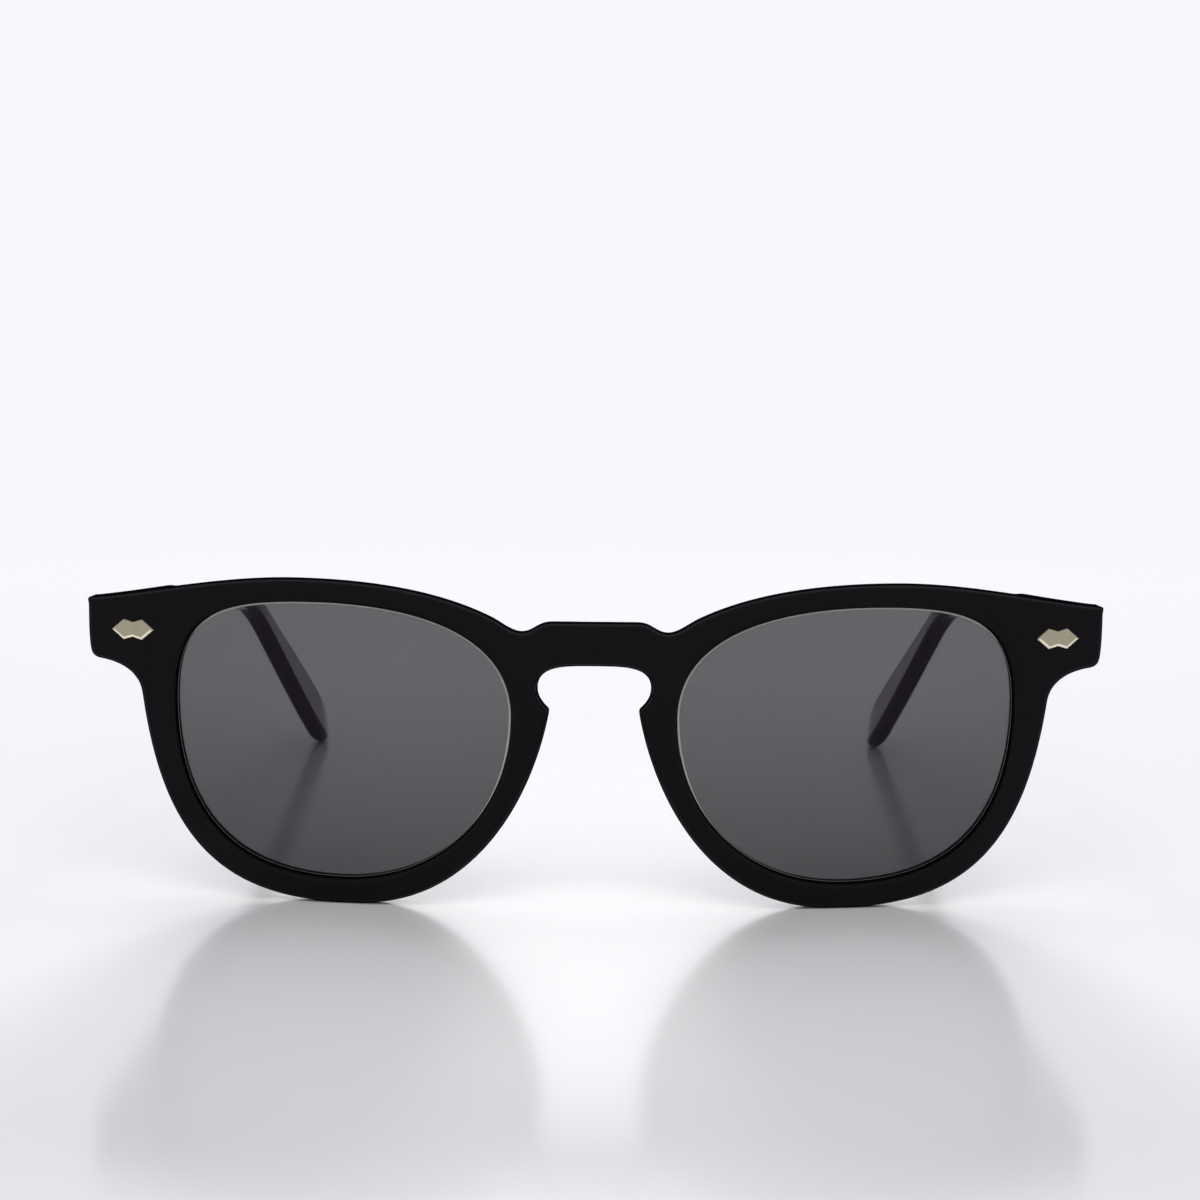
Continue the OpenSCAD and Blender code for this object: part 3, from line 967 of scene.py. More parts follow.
def grid(low: Points, high: Points, step: float) -> Points:
    """Staggered grid of points in a rectangle.

    Args:
        low: Lowest corner.
        high: Highest corner.
        step: Distance between points.

    Returns:
        The points.
    """
    row_share = 0.87
    found = []
    for i, z in enumerate(np.arange(low[1], high[1], step * row_share)):
        xs = np.arange(low[0] + (i % 2) * step / 2, high[0], step)
        found.append(np.stack([xs, np.full_like(xs, z)], 1))
    return np.concatenate(found)


def raised(flat: Points, z: float) -> Points:
    """Flat points at one height."""
    return np.concatenate([flat, np.full((len(flat), 1), z)], 1)


# The front


@dataclass(frozen=True)
class PlaqueShape:
    """Pointed metal plaque with a shallow notch above and below."""

    width: float = 6.2
    height: float = 2.8
    proud: float = 0.35
    sunk: float = 0.4
    bevel: float = 0.32
    bevel_depth: float = 0.176
    bevel_angles: tuple[float, ...] = (25, 50, 75)
    gap: float = 0.05

    def outline(self, grow: float = 0.0) -> Points:
        """Corners round the middle, clockwise from the left point.

        Args:
            grow: How much further they lie on all sides.

        Returns:
            The corners.
        """
        corners = np.array([
            [-0.5, 0], [-0.22, 0.5], [0, 0.36], [0.22, 0.5],
            [0.5, 0], [0.22, -0.5], [0, -0.36], [-0.22, -0.5],
        ])
        return corners * [self.width + 2 * grow, self.height + 2 * grow]

    def inset(self, distance: float) -> Points:
        """The corners moved evenly inwards.

        Args:
            distance: How far.

        Returns:
            The corners.
        """
        corners = self.outline()
        before = corners - np.roll(corners, 1, 0)
        after = np.roll(corners, -1, 0) - corners
        squares = []
        for edge in (unit(before), unit(after)):
            squares.append(np.stack([edge[:, 1], -edge[:, 0]], 1))
        middle = unit(squares[0] + squares[1])
        reach = distance / np.maximum((middle * squares[0]).sum(1), 0.4)
        return corners + middle * reach[:, None]

    def draft(self, place: Callable[[Points], Points]) -> Draft:
        """Builds the plaque.

        Args:
            place: Puts points on the piece: x and y along its face, z out of it.

        Returns:
            The mesh.
        """
        rings = [(0.0, -self.sunk), (0.0, self.proud - self.bevel_depth)]
        for turn in np.radians(self.bevel_angles):
            distance = self.bevel * (1 - math.cos(turn))
            rings.append((distance, self.proud - self.bevel_depth * (1 - math.sin(turn))))
        rings.append((self.bevel, self.proud))
        draft = Draft()
        corners = self.outline()
        # The sides that face down get the silver with a painted highlight, which has number 1
        painted_highlight_sides = ((np.roll(corners, -1, 0) - corners)[:, 0] < 0).astype(int).tolist()
        rows = [place(raised(self.inset(distance), z)) for distance, z in rings]
        count = len(rows[0])
        for low, high in zip(rows, rows[1:]):
            for k in range(count):
                after = (k + 1) % count
                wall = np.array([low[k], low[after], high[after], high[k]])
                draft.add(wall, None, np.array([[0, 3, 2, 1]]), painted_highlight_sides[k])
        base, tip = place(np.array([[0.0, 0.0, 0.0], [0.0, 0.0, 1.0]]))
        draft.fan(rows[-1], tip - base)
        draft.fan(rows[0], base - tip)
        return draft


@dataclass(frozen=True)
class Rounding:
    """Quarter of an ellipse between a face and a wall."""

    inset: float
    depth: float
    angles: tuple[float, ...] = (0, 10, 20, 30, 40, 50, 60, 70, 80, 90)

    def steps(self) -> list[tuple[float, float, float, float]]:
        """Steps from the face to the wall.

        Returns:
            For each step its inset, its depth, and the parts of its normal out of the face and out of
            the wall.
        """
        found = []
        for turn in np.radians(self.angles):
            c, s = math.cos(turn), math.sin(turn)
            face, wall = self.inset * c, self.depth * s
            size = math.hypot(face, wall)
            found.append((self.inset * (1 - s), self.depth * (1 - c), face / size, wall / size))
        return found


@dataclass
class AcetateFront:
    """The front: both rims, the keyhole bridge, the end pieces and the lugs behind them."""

    outline: FrontOutline
    bow: Bow
    y0: float
    plaque: PlaqueShape
    outer_edge: Rounding = Rounding(0.75, 1.5)
    outer_back_edge: Rounding = Rounding(0.65, 1.3)
    lens_edge: Rounding = Rounding(0.65, 0.6)
    lens_back_edge: Rounding = Rounding(0.5, 0.5)
    lug_t: float = 0.7
    lug_w: float = 10.5
    groove: float = 0.55
    groove_from: float = 2.2
    groove_to: float = 3.0
    lug_ramp: float = 2.3
    ledge: float = 1.0
    ledge_under: float = 1.6
    plaque_in: float = 6.8
    step: float = 0.42
    outer_softness: float = 0.22
    opening_softness: float = 0.1
    spot_step: float = 1.4
    ledge_step: float = 0.4
    ledge_below: float = 2.4
    ledge_band: float = 2.8
    ramp_step: float = 0.5
    ramp_before: float = 3.0
    ramp_after: float = 0.8

    @property
    def lug_back(self) -> float:
        """How far the back of the lugs lies behind the foremost point."""
        return float(self.bow.at(np.array(self.outline.end_x))) + self.bow.thickness + self.lug_t

    @property
    def plaque_middle(self) -> Points:
        """Middle of the +X plaque, in x and z."""
        return np.array([self.outline.end_x - self.plaque_in, self.outline.end_z0 + self.outline.end_h / 2])

    def back(self, flat: Points) -> Points:
        """How far the back face lies behind the foremost point, with the lugs.

        Args:
            flat: Points in x and z.

        Returns:
            One distance for each point.
        """
        base = self.bow.at(flat[:, 0], self.bow.thickness)
        start = self.outline.end_x - self.lug_w
        under = self.outline.end_z0 - self.ledge_under
        share = ease(start - self.lug_ramp, start, np.abs(flat[:, 0]))
        share = share * ease(under, under + self.ledge, flat[:, 1])
        return base + share * np.maximum(self.lug_back - base, 0)

    def back_normal(self, flat: Points) -> Points:
        """Normals of the back face, from its slope.

        Args:
            flat: Points in x and z.

        Returns:
            One normal for each point.
        """
        small = 0.02
        across, up = np.array([small, 0]), np.array([0, small])
        slope_x = (self.back(flat + across) - self.back(flat - across)) / (2 * small)
        slope_z = (self.back(flat + up) - self.back(flat - up)) / (2 * small)
        return unit(np.stack([-slope_x, np.ones(len(flat)), -slope_z], -1))

    def wall(self, draft: Draft, rim: Contour, front: Rounding, back: Rounding,
             grooved: bool) -> tuple[Points, Points]:
        """Wall along an outline, straight back between two rounded edges.

        Args:
            draft: The mesh that it goes into.
            rim: The outline.
            front: Rounding of the front edge.
            back: Rounding of the back edge.
            grooved: Whether the wall has the groove of a lens.

        Returns:
            The loops where the front and the back face begin, in x and z.
        """
        side = np.stack([rim.outward[:, 0], np.zeros(len(rim.points)), rim.outward[:, 1]], -1)
        scale = rim.limit / rim.limit.max()

        def edge(rounding: Rounding, faces_back: bool) -> tuple[list[Points], list[Points]]:
            """One rounded edge.

            Args:
                rounding: Its shape.
                faces_back: Whether it is the back edge.

            Returns:
                Its rows and their normals, from the face to the wall.
            """
            rows, normals = [], []
            for inset, depth, out_of_face, out_of_wall in rounding.steps():
                flat = rim.inset(scale * inset)
                face = self.back_normal(flat) if faces_back else -self.bow.inward(flat[:, 0])
                y = self.back(flat) - scale * depth if faces_back else self.bow.at(flat[:, 0]) + scale * depth
                rows.append(np.stack([flat[:, 0], y, flat[:, 1]], -1))
                normals.append(out_of_face * face + out_of_wall * side)
            return rows, normals

        front_rows, front_normals = edge(front, False)
        back_rows, back_normals = edge(back, True)
        draft.strip(front_rows, front_normals)
        draft.strip(back_rows, back_normals)
        if grooved:
            deep = rim.inset(np.full(len(rim.points), self.groove))
            inward = self.bow.inward(rim.points[:, 0])
            near = [self.bow.layer(flat, self.groove_from) for flat in (rim.points, deep)]
            far = [self.bow.layer(flat, self.groove_to) for flat in (deep, rim.points)]
            draft.strip([front_rows[-1], near[0]], [side, side])
            draft.strip(near, [inward, inward])
            draft.strip([near[1], far[0]], [side, side])
            draft.strip(far, [-inward, -inward])
            draft.strip([far[1], back_rows[-1]], [side, side])
        else:
            draft.strip([front_rows[-1], back_rows[-1]], [side, side])
        return front_rows[0][:, [0, 2]], back_rows[0][:, [0, 2]]

    def on_end_piece(self, points: Points) -> Points:
        """Puts points on the face of the +X end piece, round the middle of its plaque.

        Args:
            points: x to the right, y up, z out of the face.

        Returns:
            The points, with y from the foremost point of the front.
        """
        middle = self.plaque_middle
        centre = self.bow.layer(middle[None], 0.0)[0]
        across, inward = self.bow.across(middle[:1])[0], self.bow.inward(middle[:1])[0]
        return centre + points[:, :1] * across + points[:, 1:2] * np.array([0, 0, 1]) - points[:, 2:] * inward

    def seat(self, draft: Draft, sign: int) -> Points:
        """Shallow seat of a plaque.

        Args:
            draft: The mesh that it goes into.
            sign: Sign of x on its side.

        Returns:
            The seat's loop on the face, in x and z.
        """
        shape = self.plaque.outline(self.plaque.gap)
        flip = np.array([sign, 1, 1])
        low = self.on_end_piece(raised(shape, -self.plaque.sunk)) * flip
        level = self.on_end_piece(raised(shape, 0.0)) * flip
        top = self.bow.layer(level[:, [0, 2]], 0.0)
        centre = low.mean(0)
        for k in range(len(shape)):
            after = (k + 1) % len(shape)
            wall = np.array([top[k], top[after], low[after], low[k]])
            facing = centre - wall.mean(0)
            draft.add(wall, np.repeat(facing[None], 4, 0), np.array([[0, 1, 2, 3]]))
        draft.fan(low, -self.bow.inward(low[:1, 0])[0])
        return top[:, [0, 2]]

    def build(self, finish: bpy.types.Material) -> None:
        """Builds the front and puts it on its body.

        Args:
            finish: Its material.
        """
        draft = Draft()
        outer = contour(self.outline.whole(), self.step, self.outer_softness, self.outer_edge.inset)
        left = contour(self.outline.opening(), self.step, self.opening_softness, self.lens_edge.inset)
        outer_front, outer_back = self.wall(draft, outer, self.outer_edge, self.outer_back_edge, False)
        holes = [self.wall(draft, rim, self.lens_edge, self.lens_back_edge, True)
                 for rim in (left, left.mirrored())]
        seats = [self.seat(draft, side.sign) for side in Side]
        reach = self.outline.end_x
        spots = grid(np.array([-reach, 0]), np.array([reach, self.outline.brow_z]), self.spot_step)

        flat, faces = fill(outer_front, [hole[0] for hole in holes] + seats, spots)
        draft.add(self.bow.layer(flat, 0.0), -self.bow.inward(flat[:, 0]), faces)

        # Closer points where the back bends: along the ledge under each lug, and up its inner ramp
        start = reach - self.lug_w
        lug_low = np.array([start - self.ramp_before, self.outline.end_z0 - self.ledge_below])
        ledge_high = np.array([reach, lug_low[1] + self.ledge_band])
        ramp_low = np.array([lug_low[0], ledge_high[1]])
        ramp_high = np.array([start + self.ramp_after, self.outline.brow_z])
        ledge = grid(lug_low, ledge_high, self.ledge_step)
        ramp = grid(ramp_low, ramp_high, self.ramp_step)
        flip = np.array([-1, 1])
        spots = np.concatenate([spots, ledge, ledge * flip, ramp, ramp * flip])
        flat, faces = fill(outer_back, [hole[1] for hole in holes], spots)
        points = np.stack([flat[:, 0], self.back(flat), flat[:, 1]], -1)
        draft.add(points, self.back_normal(flat), faces)

        draft.move_back(self.y0)
        piece = draft.build("acetate_front", finish)
        settle(piece, "front", Slot.ACETATE, "front")


@dataclass
class Lens:
    """A lens: a bowed sheet with a ground edge and a thin rim that lies in the groove."""

    outline: FrontOutline
    bow: Bow
    y0: float
    depth: float = 1.7
    thickness: float = 1.8
    gap: float = 0.05
    chamfer: float = 0.04
    chamfer_lit: float = 0.22
    lit_way: tuple[float, float] = (-0.6, 0.8)
    lit_from: float = -0.1
    lit_to: float = 0.5
    bevel_reach: float = 0.5
    bevel_from: float = 2.25
    bevel_to: float = 2.95
    step: float = 0.6
    softness: float = 0.1
    shares: tuple[float, ...] = (1.0, 0.96, 0.88, 0.76, 0.62, 0.47, 0.32, 0.17, 0.04)

    def draft(self) -> Draft:
        """Builds the +X lens.

        Returns:
            The mesh.
        """
        rim = contour(self.outline.opening(), self.step, self.softness, 1.0)
        draft = Draft()
        middle = rim.points.mean(0)
        # The contour faces the opening's middle, so a negative inset makes the lens smaller
        every = np.ones(len(rim.points))
        # The front chamfer carries the painted glow, and is widest where the edge faces up and towards the
        # nose
        turned = -rim.outward @ np.array(self.lit_way)
        chamfer = self.chamfer + self.chamfer_lit * ease(self.lit_from, self.lit_to, turned)
        edge = rim.inset(-self.gap * every)
        reach = rim.inset(self.bevel_reach * every)
        small = rim.inset(-self.gap - chamfer)
        side = np.stack([-rim.outward[:, 0], 0 * every, -rim.outward[:, 1]], -1)
        back = self.depth + self.thickness
        lip = 0.7 * self.chamfer + 0.05

        def band(first: Points, near: float, second: Points, far: float, turn: float, tone: int = 0) -> None:
            """One band of the edge.

            Args:
                first: Its front loop.
                near: Depth of the front loop.
                second: Its back loop.
                far: Depth of the back loop.
                turn: Where it faces: 0 is forwards, 90 outwards and 180 backwards.
                tone: Number of its finish.
            """
            angle = math.radians(turn)
            normals = -math.cos(angle) * self.bow.inward(first[:, 0]) + math.sin(angle) * side
            rows = [self.bow.layer(first, near), self.bow.layer(second, far)]
            draft.strip(rows, [normals, normals], tone=tone)

        # Front chamfer, finish 1, with the painted glow
        band(small, self.depth, edge, self.depth + lip, 30, 1)
        band(edge, self.depth + lip, edge, self.bevel_from, 90)
        band(edge, self.bevel_from, reach, self.bevel_from, 0)
        band(reach, self.bevel_from, reach, self.bevel_to, 90)
        band(reach, self.bevel_to, edge, self.bevel_to, 180)
        band(edge, self.bevel_to, edge, back - lip, 90)
        band(edge, back - lip, small, back, 150)
        for depth, sign in ((self.depth, -1), (back, 1)):
            rows = [self.bow.layer(middle + share * (small - middle), depth) for share in self.shares]
            normals = [sign * self.bow.inward(row[:, 0]) for row in rows]
            draft.strip(rows, normals)
            draft.fan(rows[-1], normals[-1].mean(0))
        draft.move_back(self.y0)
        return draft

    def build(self, finish: bpy.types.Material, painted_edge_light: bpy.types.Material) -> None:
        """Builds both lenses and puts them on the front.

        Args:
            finish: The tint.
            painted_edge_light: Finish of the front chamfer, with a painted glow.
        """
        draft = self.draft()
        for side in Side:
            piece = draft.on(side).build(f"{side.value}_smoked_lens", finish, painted_edge_light)
            settle(piece, "front", Slot.LENS, f"{side.value}_lens")


@dataclass
class NosePad:
    """A crescent of acetate behind the nose side of a rim, with a full, rounded back."""

    outline: FrontOutline
    bow: Bow
    y0: float
    length: float = 15.5
    width: float = 3.4
    height: float = 4.5
    lean: float = 12.0
    below_nub: float = 0.3
    edge_off: float = 0.15
    sunk: float = 0.25
    lowest: float = 0.05
    point_share: float = 0.01
    point_power: float = 0.7
    back_power: float = 0.62
    path_steps: int = 160
    sections: int = 44
    around: int = 26

    def draft(self) -> Draft:
        """Builds the +X pad.

        Returns:
            The mesh.
        """
        path = np.array(self.outline.nose_curve(self.path_steps))
        top = self.outline.nub[1]
        path = path[(path[:, 1] > top - self.length) & (path[:, 1] < top - self.below_nub)]
        chord = path[-1] - path[0]
        span = np.linalg.norm(chord)
        chord /= span
        out = np.array([chord[1], -chord[0]])
        radius = (span ** 2 / 4 + self.height ** 2) / (2 * self.height)
        slant = math.tan(math.radians(self.lean))
        rings = []
        for i in range(self.sections + 1):
            turn = math.pi * (self.point_share + (1 - 2 * self.point_share) * i / self.sections)
            t = 0.5 - 0.5 * math.cos(turn)
            at = t * (len(path) - 1)
            low = int(min(at, len(path) - 2))
            edge = path[low] + (at - low) * (path[low + 1] - path[low]) + self.edge_off * out
            wide = self.width * math.sin(math.pi * t) ** self.point_power
            offset = (t - 0.5) * span
            high = max(self.lowest, math.sqrt(radius ** 2 - offset ** 2) - (radius - self.height))
            ring = []
            for k in range(self.around):
                turn = math.pi * k / (self.around - 1)
                share = 0.5 - 0.5 * math.cos(turn)
                rise = high * math.sin(turn) ** self.back_power - self.sunk
                flat = edge + out * wide * share
                flat[0] += max(0.0, rise) * slant
                ring.append([flat[0], float(self.bow.at(flat[0], self.bow.thickness)) + rise, flat[1]])
            rings.append(ring)
        grid_points = np.array(rings)
        along = np.gradient(grid_points, axis=0)
        across = np.gradient(grid_points, axis=1)
        normals = unit(np.cross(across, along))
        if normals[self.sections // 2, self.around // 2, 1] < 0:
            normals = -normals
        draft = Draft()
        draft.strip(list(grid_points), list(normals), closed=False)
        base = np.stack([grid_points[:, 0], grid_points[:, -1]])
        draft.strip(list(base), [np.repeat([[0.0, -1.0, 0.0]], len(base[0]), 0)] * 2, closed=False)
        for ring, normal in ((grid_points[0], -1), (grid_points[-1], 1)):
            draft.fan(ring, np.array([chord[0] * normal, 0, chord[1] * normal]))
        draft.move_back(self.y0)
        return draft

    def build(self, finish: bpy.types.Material) -> None:
        """Builds both pads and puts them on the front.

        Args:
            finish: Their material.
        """
        draft = self.draft()
        for side in Side:
            piece = draft.on(side).build(f"{side.value}_pad", finish)
            settle(piece, "front", Slot.ACETATE, f"{side.value}_nose_pad")


@dataclass
class Temple:
    """A temple: hinge end, bowed straight part, ear bend and paddle."""

    front: AcetateFront
    thickness: float = 4.0
    tip_t: float = 3.3
    waist: float = 4.6
    paddle_h: float = 11.2
    tip_l: float = 8.0
    rounding: float = 0.85
    tip_rounding: float = 1.5
    rounding_before: float = 20.0
    corner_share: float = 0.92
    reach: float = 92.93
    slope: float = 2.6
    ear_r: float = 24.0
    ear_slope: float = 45.0
    ear_lean: float = 14.5
    lean_before: float = 12.0
    straight: float = 20.0
    bow_r: float = 1200.0
    gap: float = 0.05
    tip_share: float = 0.985
    end_chamfer: float = 0.22
    corner_points: int = 7
    straight_rows: int = 44
    ear_rows: int = 26
    paddle_rows: int = 18
    tip_rows: int = 26
    plaque_at: float = 6.6
    length: float = field(init=False, default=0.0)

    def __post_init__(self) -> None:
        """Finds the length that sets the tip down on the floor, as the part's source does."""
        first = self.height - self.paddle_h / 2
        self.length = self.reach + self.ear_len + first
        tries = 40
        low = min(float(self.section(self.tip_place(i / tries))[0][:, 2].min()) for i in range(tries))
        drop = first + low / (math.sin(math.radians(self.ear_slope)) * math.cos(math.radians(self.ear_lean)))
        self.length = self.reach + self.ear_len + drop

    @property
    def height(self) -> float:
        """Height of the middle line at the hinge end."""
        return self.front.outline.end_z0 + self.front.outline.end_h / 2

    @property
    def hinge_end_h(self) -> float:
        """Height of the hinge end."""
        return self.front.outline.end_h - 0.3

    @property
    def ear_len(self) -> float:
        """Length of the ear bend."""
        return self.ear_r * math.radians(self.ear_slope - self.slope)

    @property
    def y0(self) -> float:
        """Place of the hinge end front to back."""
        return self.front.y0 + self.front.lug_back + self.gap

    def tip_place(self, share: float) -> float:
        """Distance along the temple at a share of the quarter turn round its tip."""
        return self.length + self.tip_r * math.sin(math.pi / 2 * share)

    @property
    def tip_r(self) -> float:
        """Length of the rounded tip."""
        return self.tip_share * self.tip_l

    def spine(self, s: float) -> Points:
        """Middle of the temple.

        Args:
            s: Distance along it.

        Returns:
            The point, with y from the hinge end.
        """
        low, high = math.radians(self.slope), math.radians(self.ear_slope)
        lean = math.radians(self.ear_lean)
        y, fall, z = s * math.cos(low), 0.0, self.height - min(s, self.reach) * math.sin(low)
        if s >= self.reach:
            turn = low + min(s - self.reach, self.ear_len) / self.ear_r
            rest = max(0.0, s - self.reach - self.ear_len)
            bent = self.ear_r * (math.sin(turn) - math.sin(low))
            y = self.reach * math.cos(low) + bent + rest * math.cos(high)
            fall = self.ear_r * (math.cos(low) - math.cos(turn)) + rest * math.sin(high)
        past = max(0.0, y - self.straight)
        bowed = self.bow_r - math.sqrt(self.bow_r ** 2 - past ** 2)
        x = self.front.outline.end_x - self.thickness / 2 - bowed - fall * math.sin(lean)
        return np.array([x, y, z - fall * math.cos(lean)])

    def directions(self, s: float) -> tuple[Points, Points, Points]:
        """Directions of the temple.

        Args:
            s: Distance along it.

        Returns:
            The directions along it, outwards and upwards.
        """
        step = 0.05
        if s < step:
            return np.array([0.0, 1, 0]), np.array([1.0, 0, 0]), np.array([0.0, 0, 1])
        lean = math.radians(self.ear_lean)
        lean *= ease(self.reach - self.lean_before, self.reach + self.ear_len, s)
        along = unit(self.spine(s + step) - self.spine(s - step))
        level = np.array([math.cos(lean), 0, -math.sin(lean)])
        out = unit(level - (level @ along) * along)
        return along, out, np.cross(out, along)

    def section(self, s: float, shrink: float = 0.0) -> tuple[Points, Points]:
        """Rounded section at a distance along the temple.

        Args:
            s: The distance.
            shrink: How much smaller it is on all sides.

        Returns:
            Its points, and the direction that its edge faces at each.
        """
        # A little short of 1, where the section would shrink to nothing
        past = min(0.9995, max(0.0, s - self.length) / self.tip_r)
        end = math.sqrt(1 - past * past)
        half_t = self.thickness / 2 + (self.tip_t - self.thickness) / 2 * ease(0, self.reach, s)
        paddle_start = self.reach + self.ear_len / 3
        half_h = (self.hinge_end_h
                  + (self.waist - self.hinge_end_h) * ease(0, self.reach, s)
                  + (self.paddle_h - self.waist) * ease(paddle_start, self.length + 1, s)) / 2
        half_t = half_t * (1 - past ** 3) ** 0.5 - shrink
        half_h = half_h * end - shrink
        softer = ease(self.reach - self.rounding_before, self.length, s)
        rounding = self.rounding + (self.tip_rounding - self.rounding) * softer
        corner = min(rounding, self.corner_share * half_t, self.corner_share * half_h)
        middle = self.spine(s)
        _, out, up = self.directions(s)
        points, edges = [], []
        for sign_t, sign_h in ((1, 1), (1, -1), (-1, -1), (-1, 1)):
            angles = np.linspace(90, 0, self.corner_points)
            if sign_t * sign_h < 0:
                angles = angles[::-1]
            for angle in np.radians(angles):
                outwards, upwards = sign_t * math.cos(angle), sign_h * math.sin(angle)
                across = sign_t * (half_t - corner) + corner * outwards
                along = sign_h * (half_h - corner) + corner * upwards
                points.append(middle + across * out + along * up)
                edges.append(outwards * out + upwards * up)
        return np.array(points), np.array(edges)

    def draft(self) -> Draft:
        """Builds the +X temple.

        Returns:
            The mesh.
        """
        chamfer = self.end_chamfer
        ear_end = self.reach + self.ear_len
        places = [(chamfer * (1 - math.cos(turn)), chamfer * (1 - math.sin(turn)))
                  for turn in np.radians([0, 30, 60])]
        for start, end, count in ((chamfer, self.reach, self.straight_rows),
                                  (self.reach, ear_end, self.ear_rows),
                                  (ear_end, self.length, self.paddle_rows)):
            places += [(start + (end - start) * i / count, 0.0) for i in range(count)]
        places += [(self.tip_place(i / self.tip_rows), 0.0) for i in range(self.tip_rows + 1)]
        rows = [self.section(s, shrink) for s, shrink in places]
        points = np.array([row[0] for row in rows])
        sides = np.array([row[1] for row in rows])
        along = unit(np.gradient(points, axis=0))
        normals = unit(sides - (sides * along).sum(2)[..., None] * along)
        draft = Draft()
        draft.strip(list(points), list(normals))
        draft.fan(points[0], np.array([0.0, -1, 0]))
        draft.fan(points[-1], self.directions(self.length)[0])
        draft.move_back(self.y0)
        return draft

    def build(self, finish: bpy.types.Material) -> None:
        """Builds both temples and puts them on their bodies.

        Args:
            finish: Their material.
        """
        draft = self.draft()
        for side in Side:
            piece = draft.on(side).build(f"{side.value}_temple_arm", finish)
            settle(piece, f"{side.value}_temple", Slot.ACETATE, f"{side.value}_temple")

    def plaque_place(self, points: Points) -> Points:
        """Puts a plaque's points on the outer side of the +X temple.

        Args:
            points: x to the right seen from outside, y up, z out.

        Returns:
            The points in the part's frame.
        """
        c, s = math.cos(math.radians(self.slope)), math.sin(math.radians(self.slope))
        y = self.y0 + self.plaque_at + points[:, 0] * c + points[:, 1] * s
        z = self.height - self.plaque_at * s - points[:, 0] * s + points[:, 1] * c
        return np.stack([self.front.outline.end_x + points[:, 2], y, z], -1)


@dataclass
class Plaques:
    """The four metal plaques."""

    front: AcetateFront
    temple: Temple

    def build(self, finish: bpy.types.Material, painted_edge_light: bpy.types.Material) -> None:
        """Builds the plaques and puts them on their bodies.

        Args:
            finish: Their material.
            painted_edge_light: Material of the sides that face down, with a painted highlight.
        """
        shape = self.front.plaque
        on_face = shape.draft(self.front.on_end_piece)
        on_face.move_back(self.front.y0)
        on_side = shape.draft(self.temple.plaque_place)
        for side in Side:
            word = side.value
            for draft, name, body in ((on_face, "front", "front"), (on_side, "temple", f"{word}_temple")):
                piece = draft.on(side).build(f"{word}_{name}_badge", finish, painted_edge_light)
                settle(piece, body, Slot.PLAQUE, f"{word}_{name}_plaque")


class Turned:
    """Small steel parts, made of bevelled blocks and turned rings."""

    sharp_from: float = 32.0

    def __init__(self) -> None:
        """Starts empty."""
        self.mesh = bmesh.new()

    def block(self, low: Sequence[float], high: Sequence[float], bevel: float) -> None:
        """Adds a block with softened edges.

        Args:
            low: Its lowest corner.
            high: Its highest corner.
            bevel: How far its edges are softened.
        """
        made = bmesh.ops.create_cube(self.mesh, size=1.0)
        size = np.subtract(high, low)
        middle = np.add(high, low) / 2
        for vert in made["verts"]:
            vert.co = Vector(np.array(vert.co) * size + middle)
        edges = list(dict.fromkeys(edge for vert in made["verts"] for edge in vert.link_edges))
        bmesh.ops.bevel(self.mesh, geom=edges, offset=bevel, segments=3, profile=0.5, affect="EDGES")

    def ring(self, middle: Sequence[float], profile: Sequence[tuple[float, float]], steps: int = 40) -> None:
        """Adds a ring turned about an upright axis.

        Args:
            middle: Place of the axis at height 0 of the profile.
            profile: Closed loop of radius and height; a radius of 0 lies on the axis.
            steps: Steps round the axis.
        """
        centre = Vector(middle)
        turns = [2 * math.pi * k / steps for k in range(steps)]
        loops = []
        for radius, height in profile:
            if radius == 0:
                loops.append([self.mesh.verts.new(centre + Vector((0, 0, height)))] * steps)
            else:
                loops.append([self.mesh.verts.new(centre + Vector((
                    radius * math.cos(turn), radius * math.sin(turn), height))) for turn in turns])
        for i, loop in enumerate(loops):
            other = loops[(i + 1) % len(loops)]
            for k in range(steps):
                after = (k + 1) % steps
                distinct = list(dict.fromkeys([loop[k], other[k], other[after], loop[after]]))
                if len(distinct) > 2:
                    self.mesh.faces.new(distinct)

    def slice(self, place: Sequence[float], normal: Sequence[float]) -> None:
        """Cuts all faces along a plane, and takes nothing away."""
        cut = [*self.mesh.verts, *self.mesh.edges, *self.mesh.faces]
        bmesh.ops.bisect_plane(self.mesh, geom=cut, plane_co=place, plane_no=normal)

    def build(self, name: str, finish: bpy.types.Material, side: Side) -> bpy.types.Object:
        """Makes the object in metres.

        Args:
            name: Name of the piece.
            finish: Its material.
            side: The side that it is for.

        Returns:
            The object.
        """
        for vert in self.mesh.verts:
            vert.co = Vector((side.sign * vert.co.x, vert.co.y, vert.co.z)) * MM
        self.mesh.normal_update()
        bmesh.ops.recalc_face_normals(self.mesh, faces=self.mesh.faces)
        mesh = bpy.data.meshes.new(name)
        self.mesh.to_mesh(mesh)
        self.mesh.free()
        mesh.polygons.foreach_set("use_smooth", [True] * len(mesh.polygons))
        mesh.set_sharp_from_angle(angle=math.radians(self.sharp_from))
        return new_piece(name, mesh, finish)


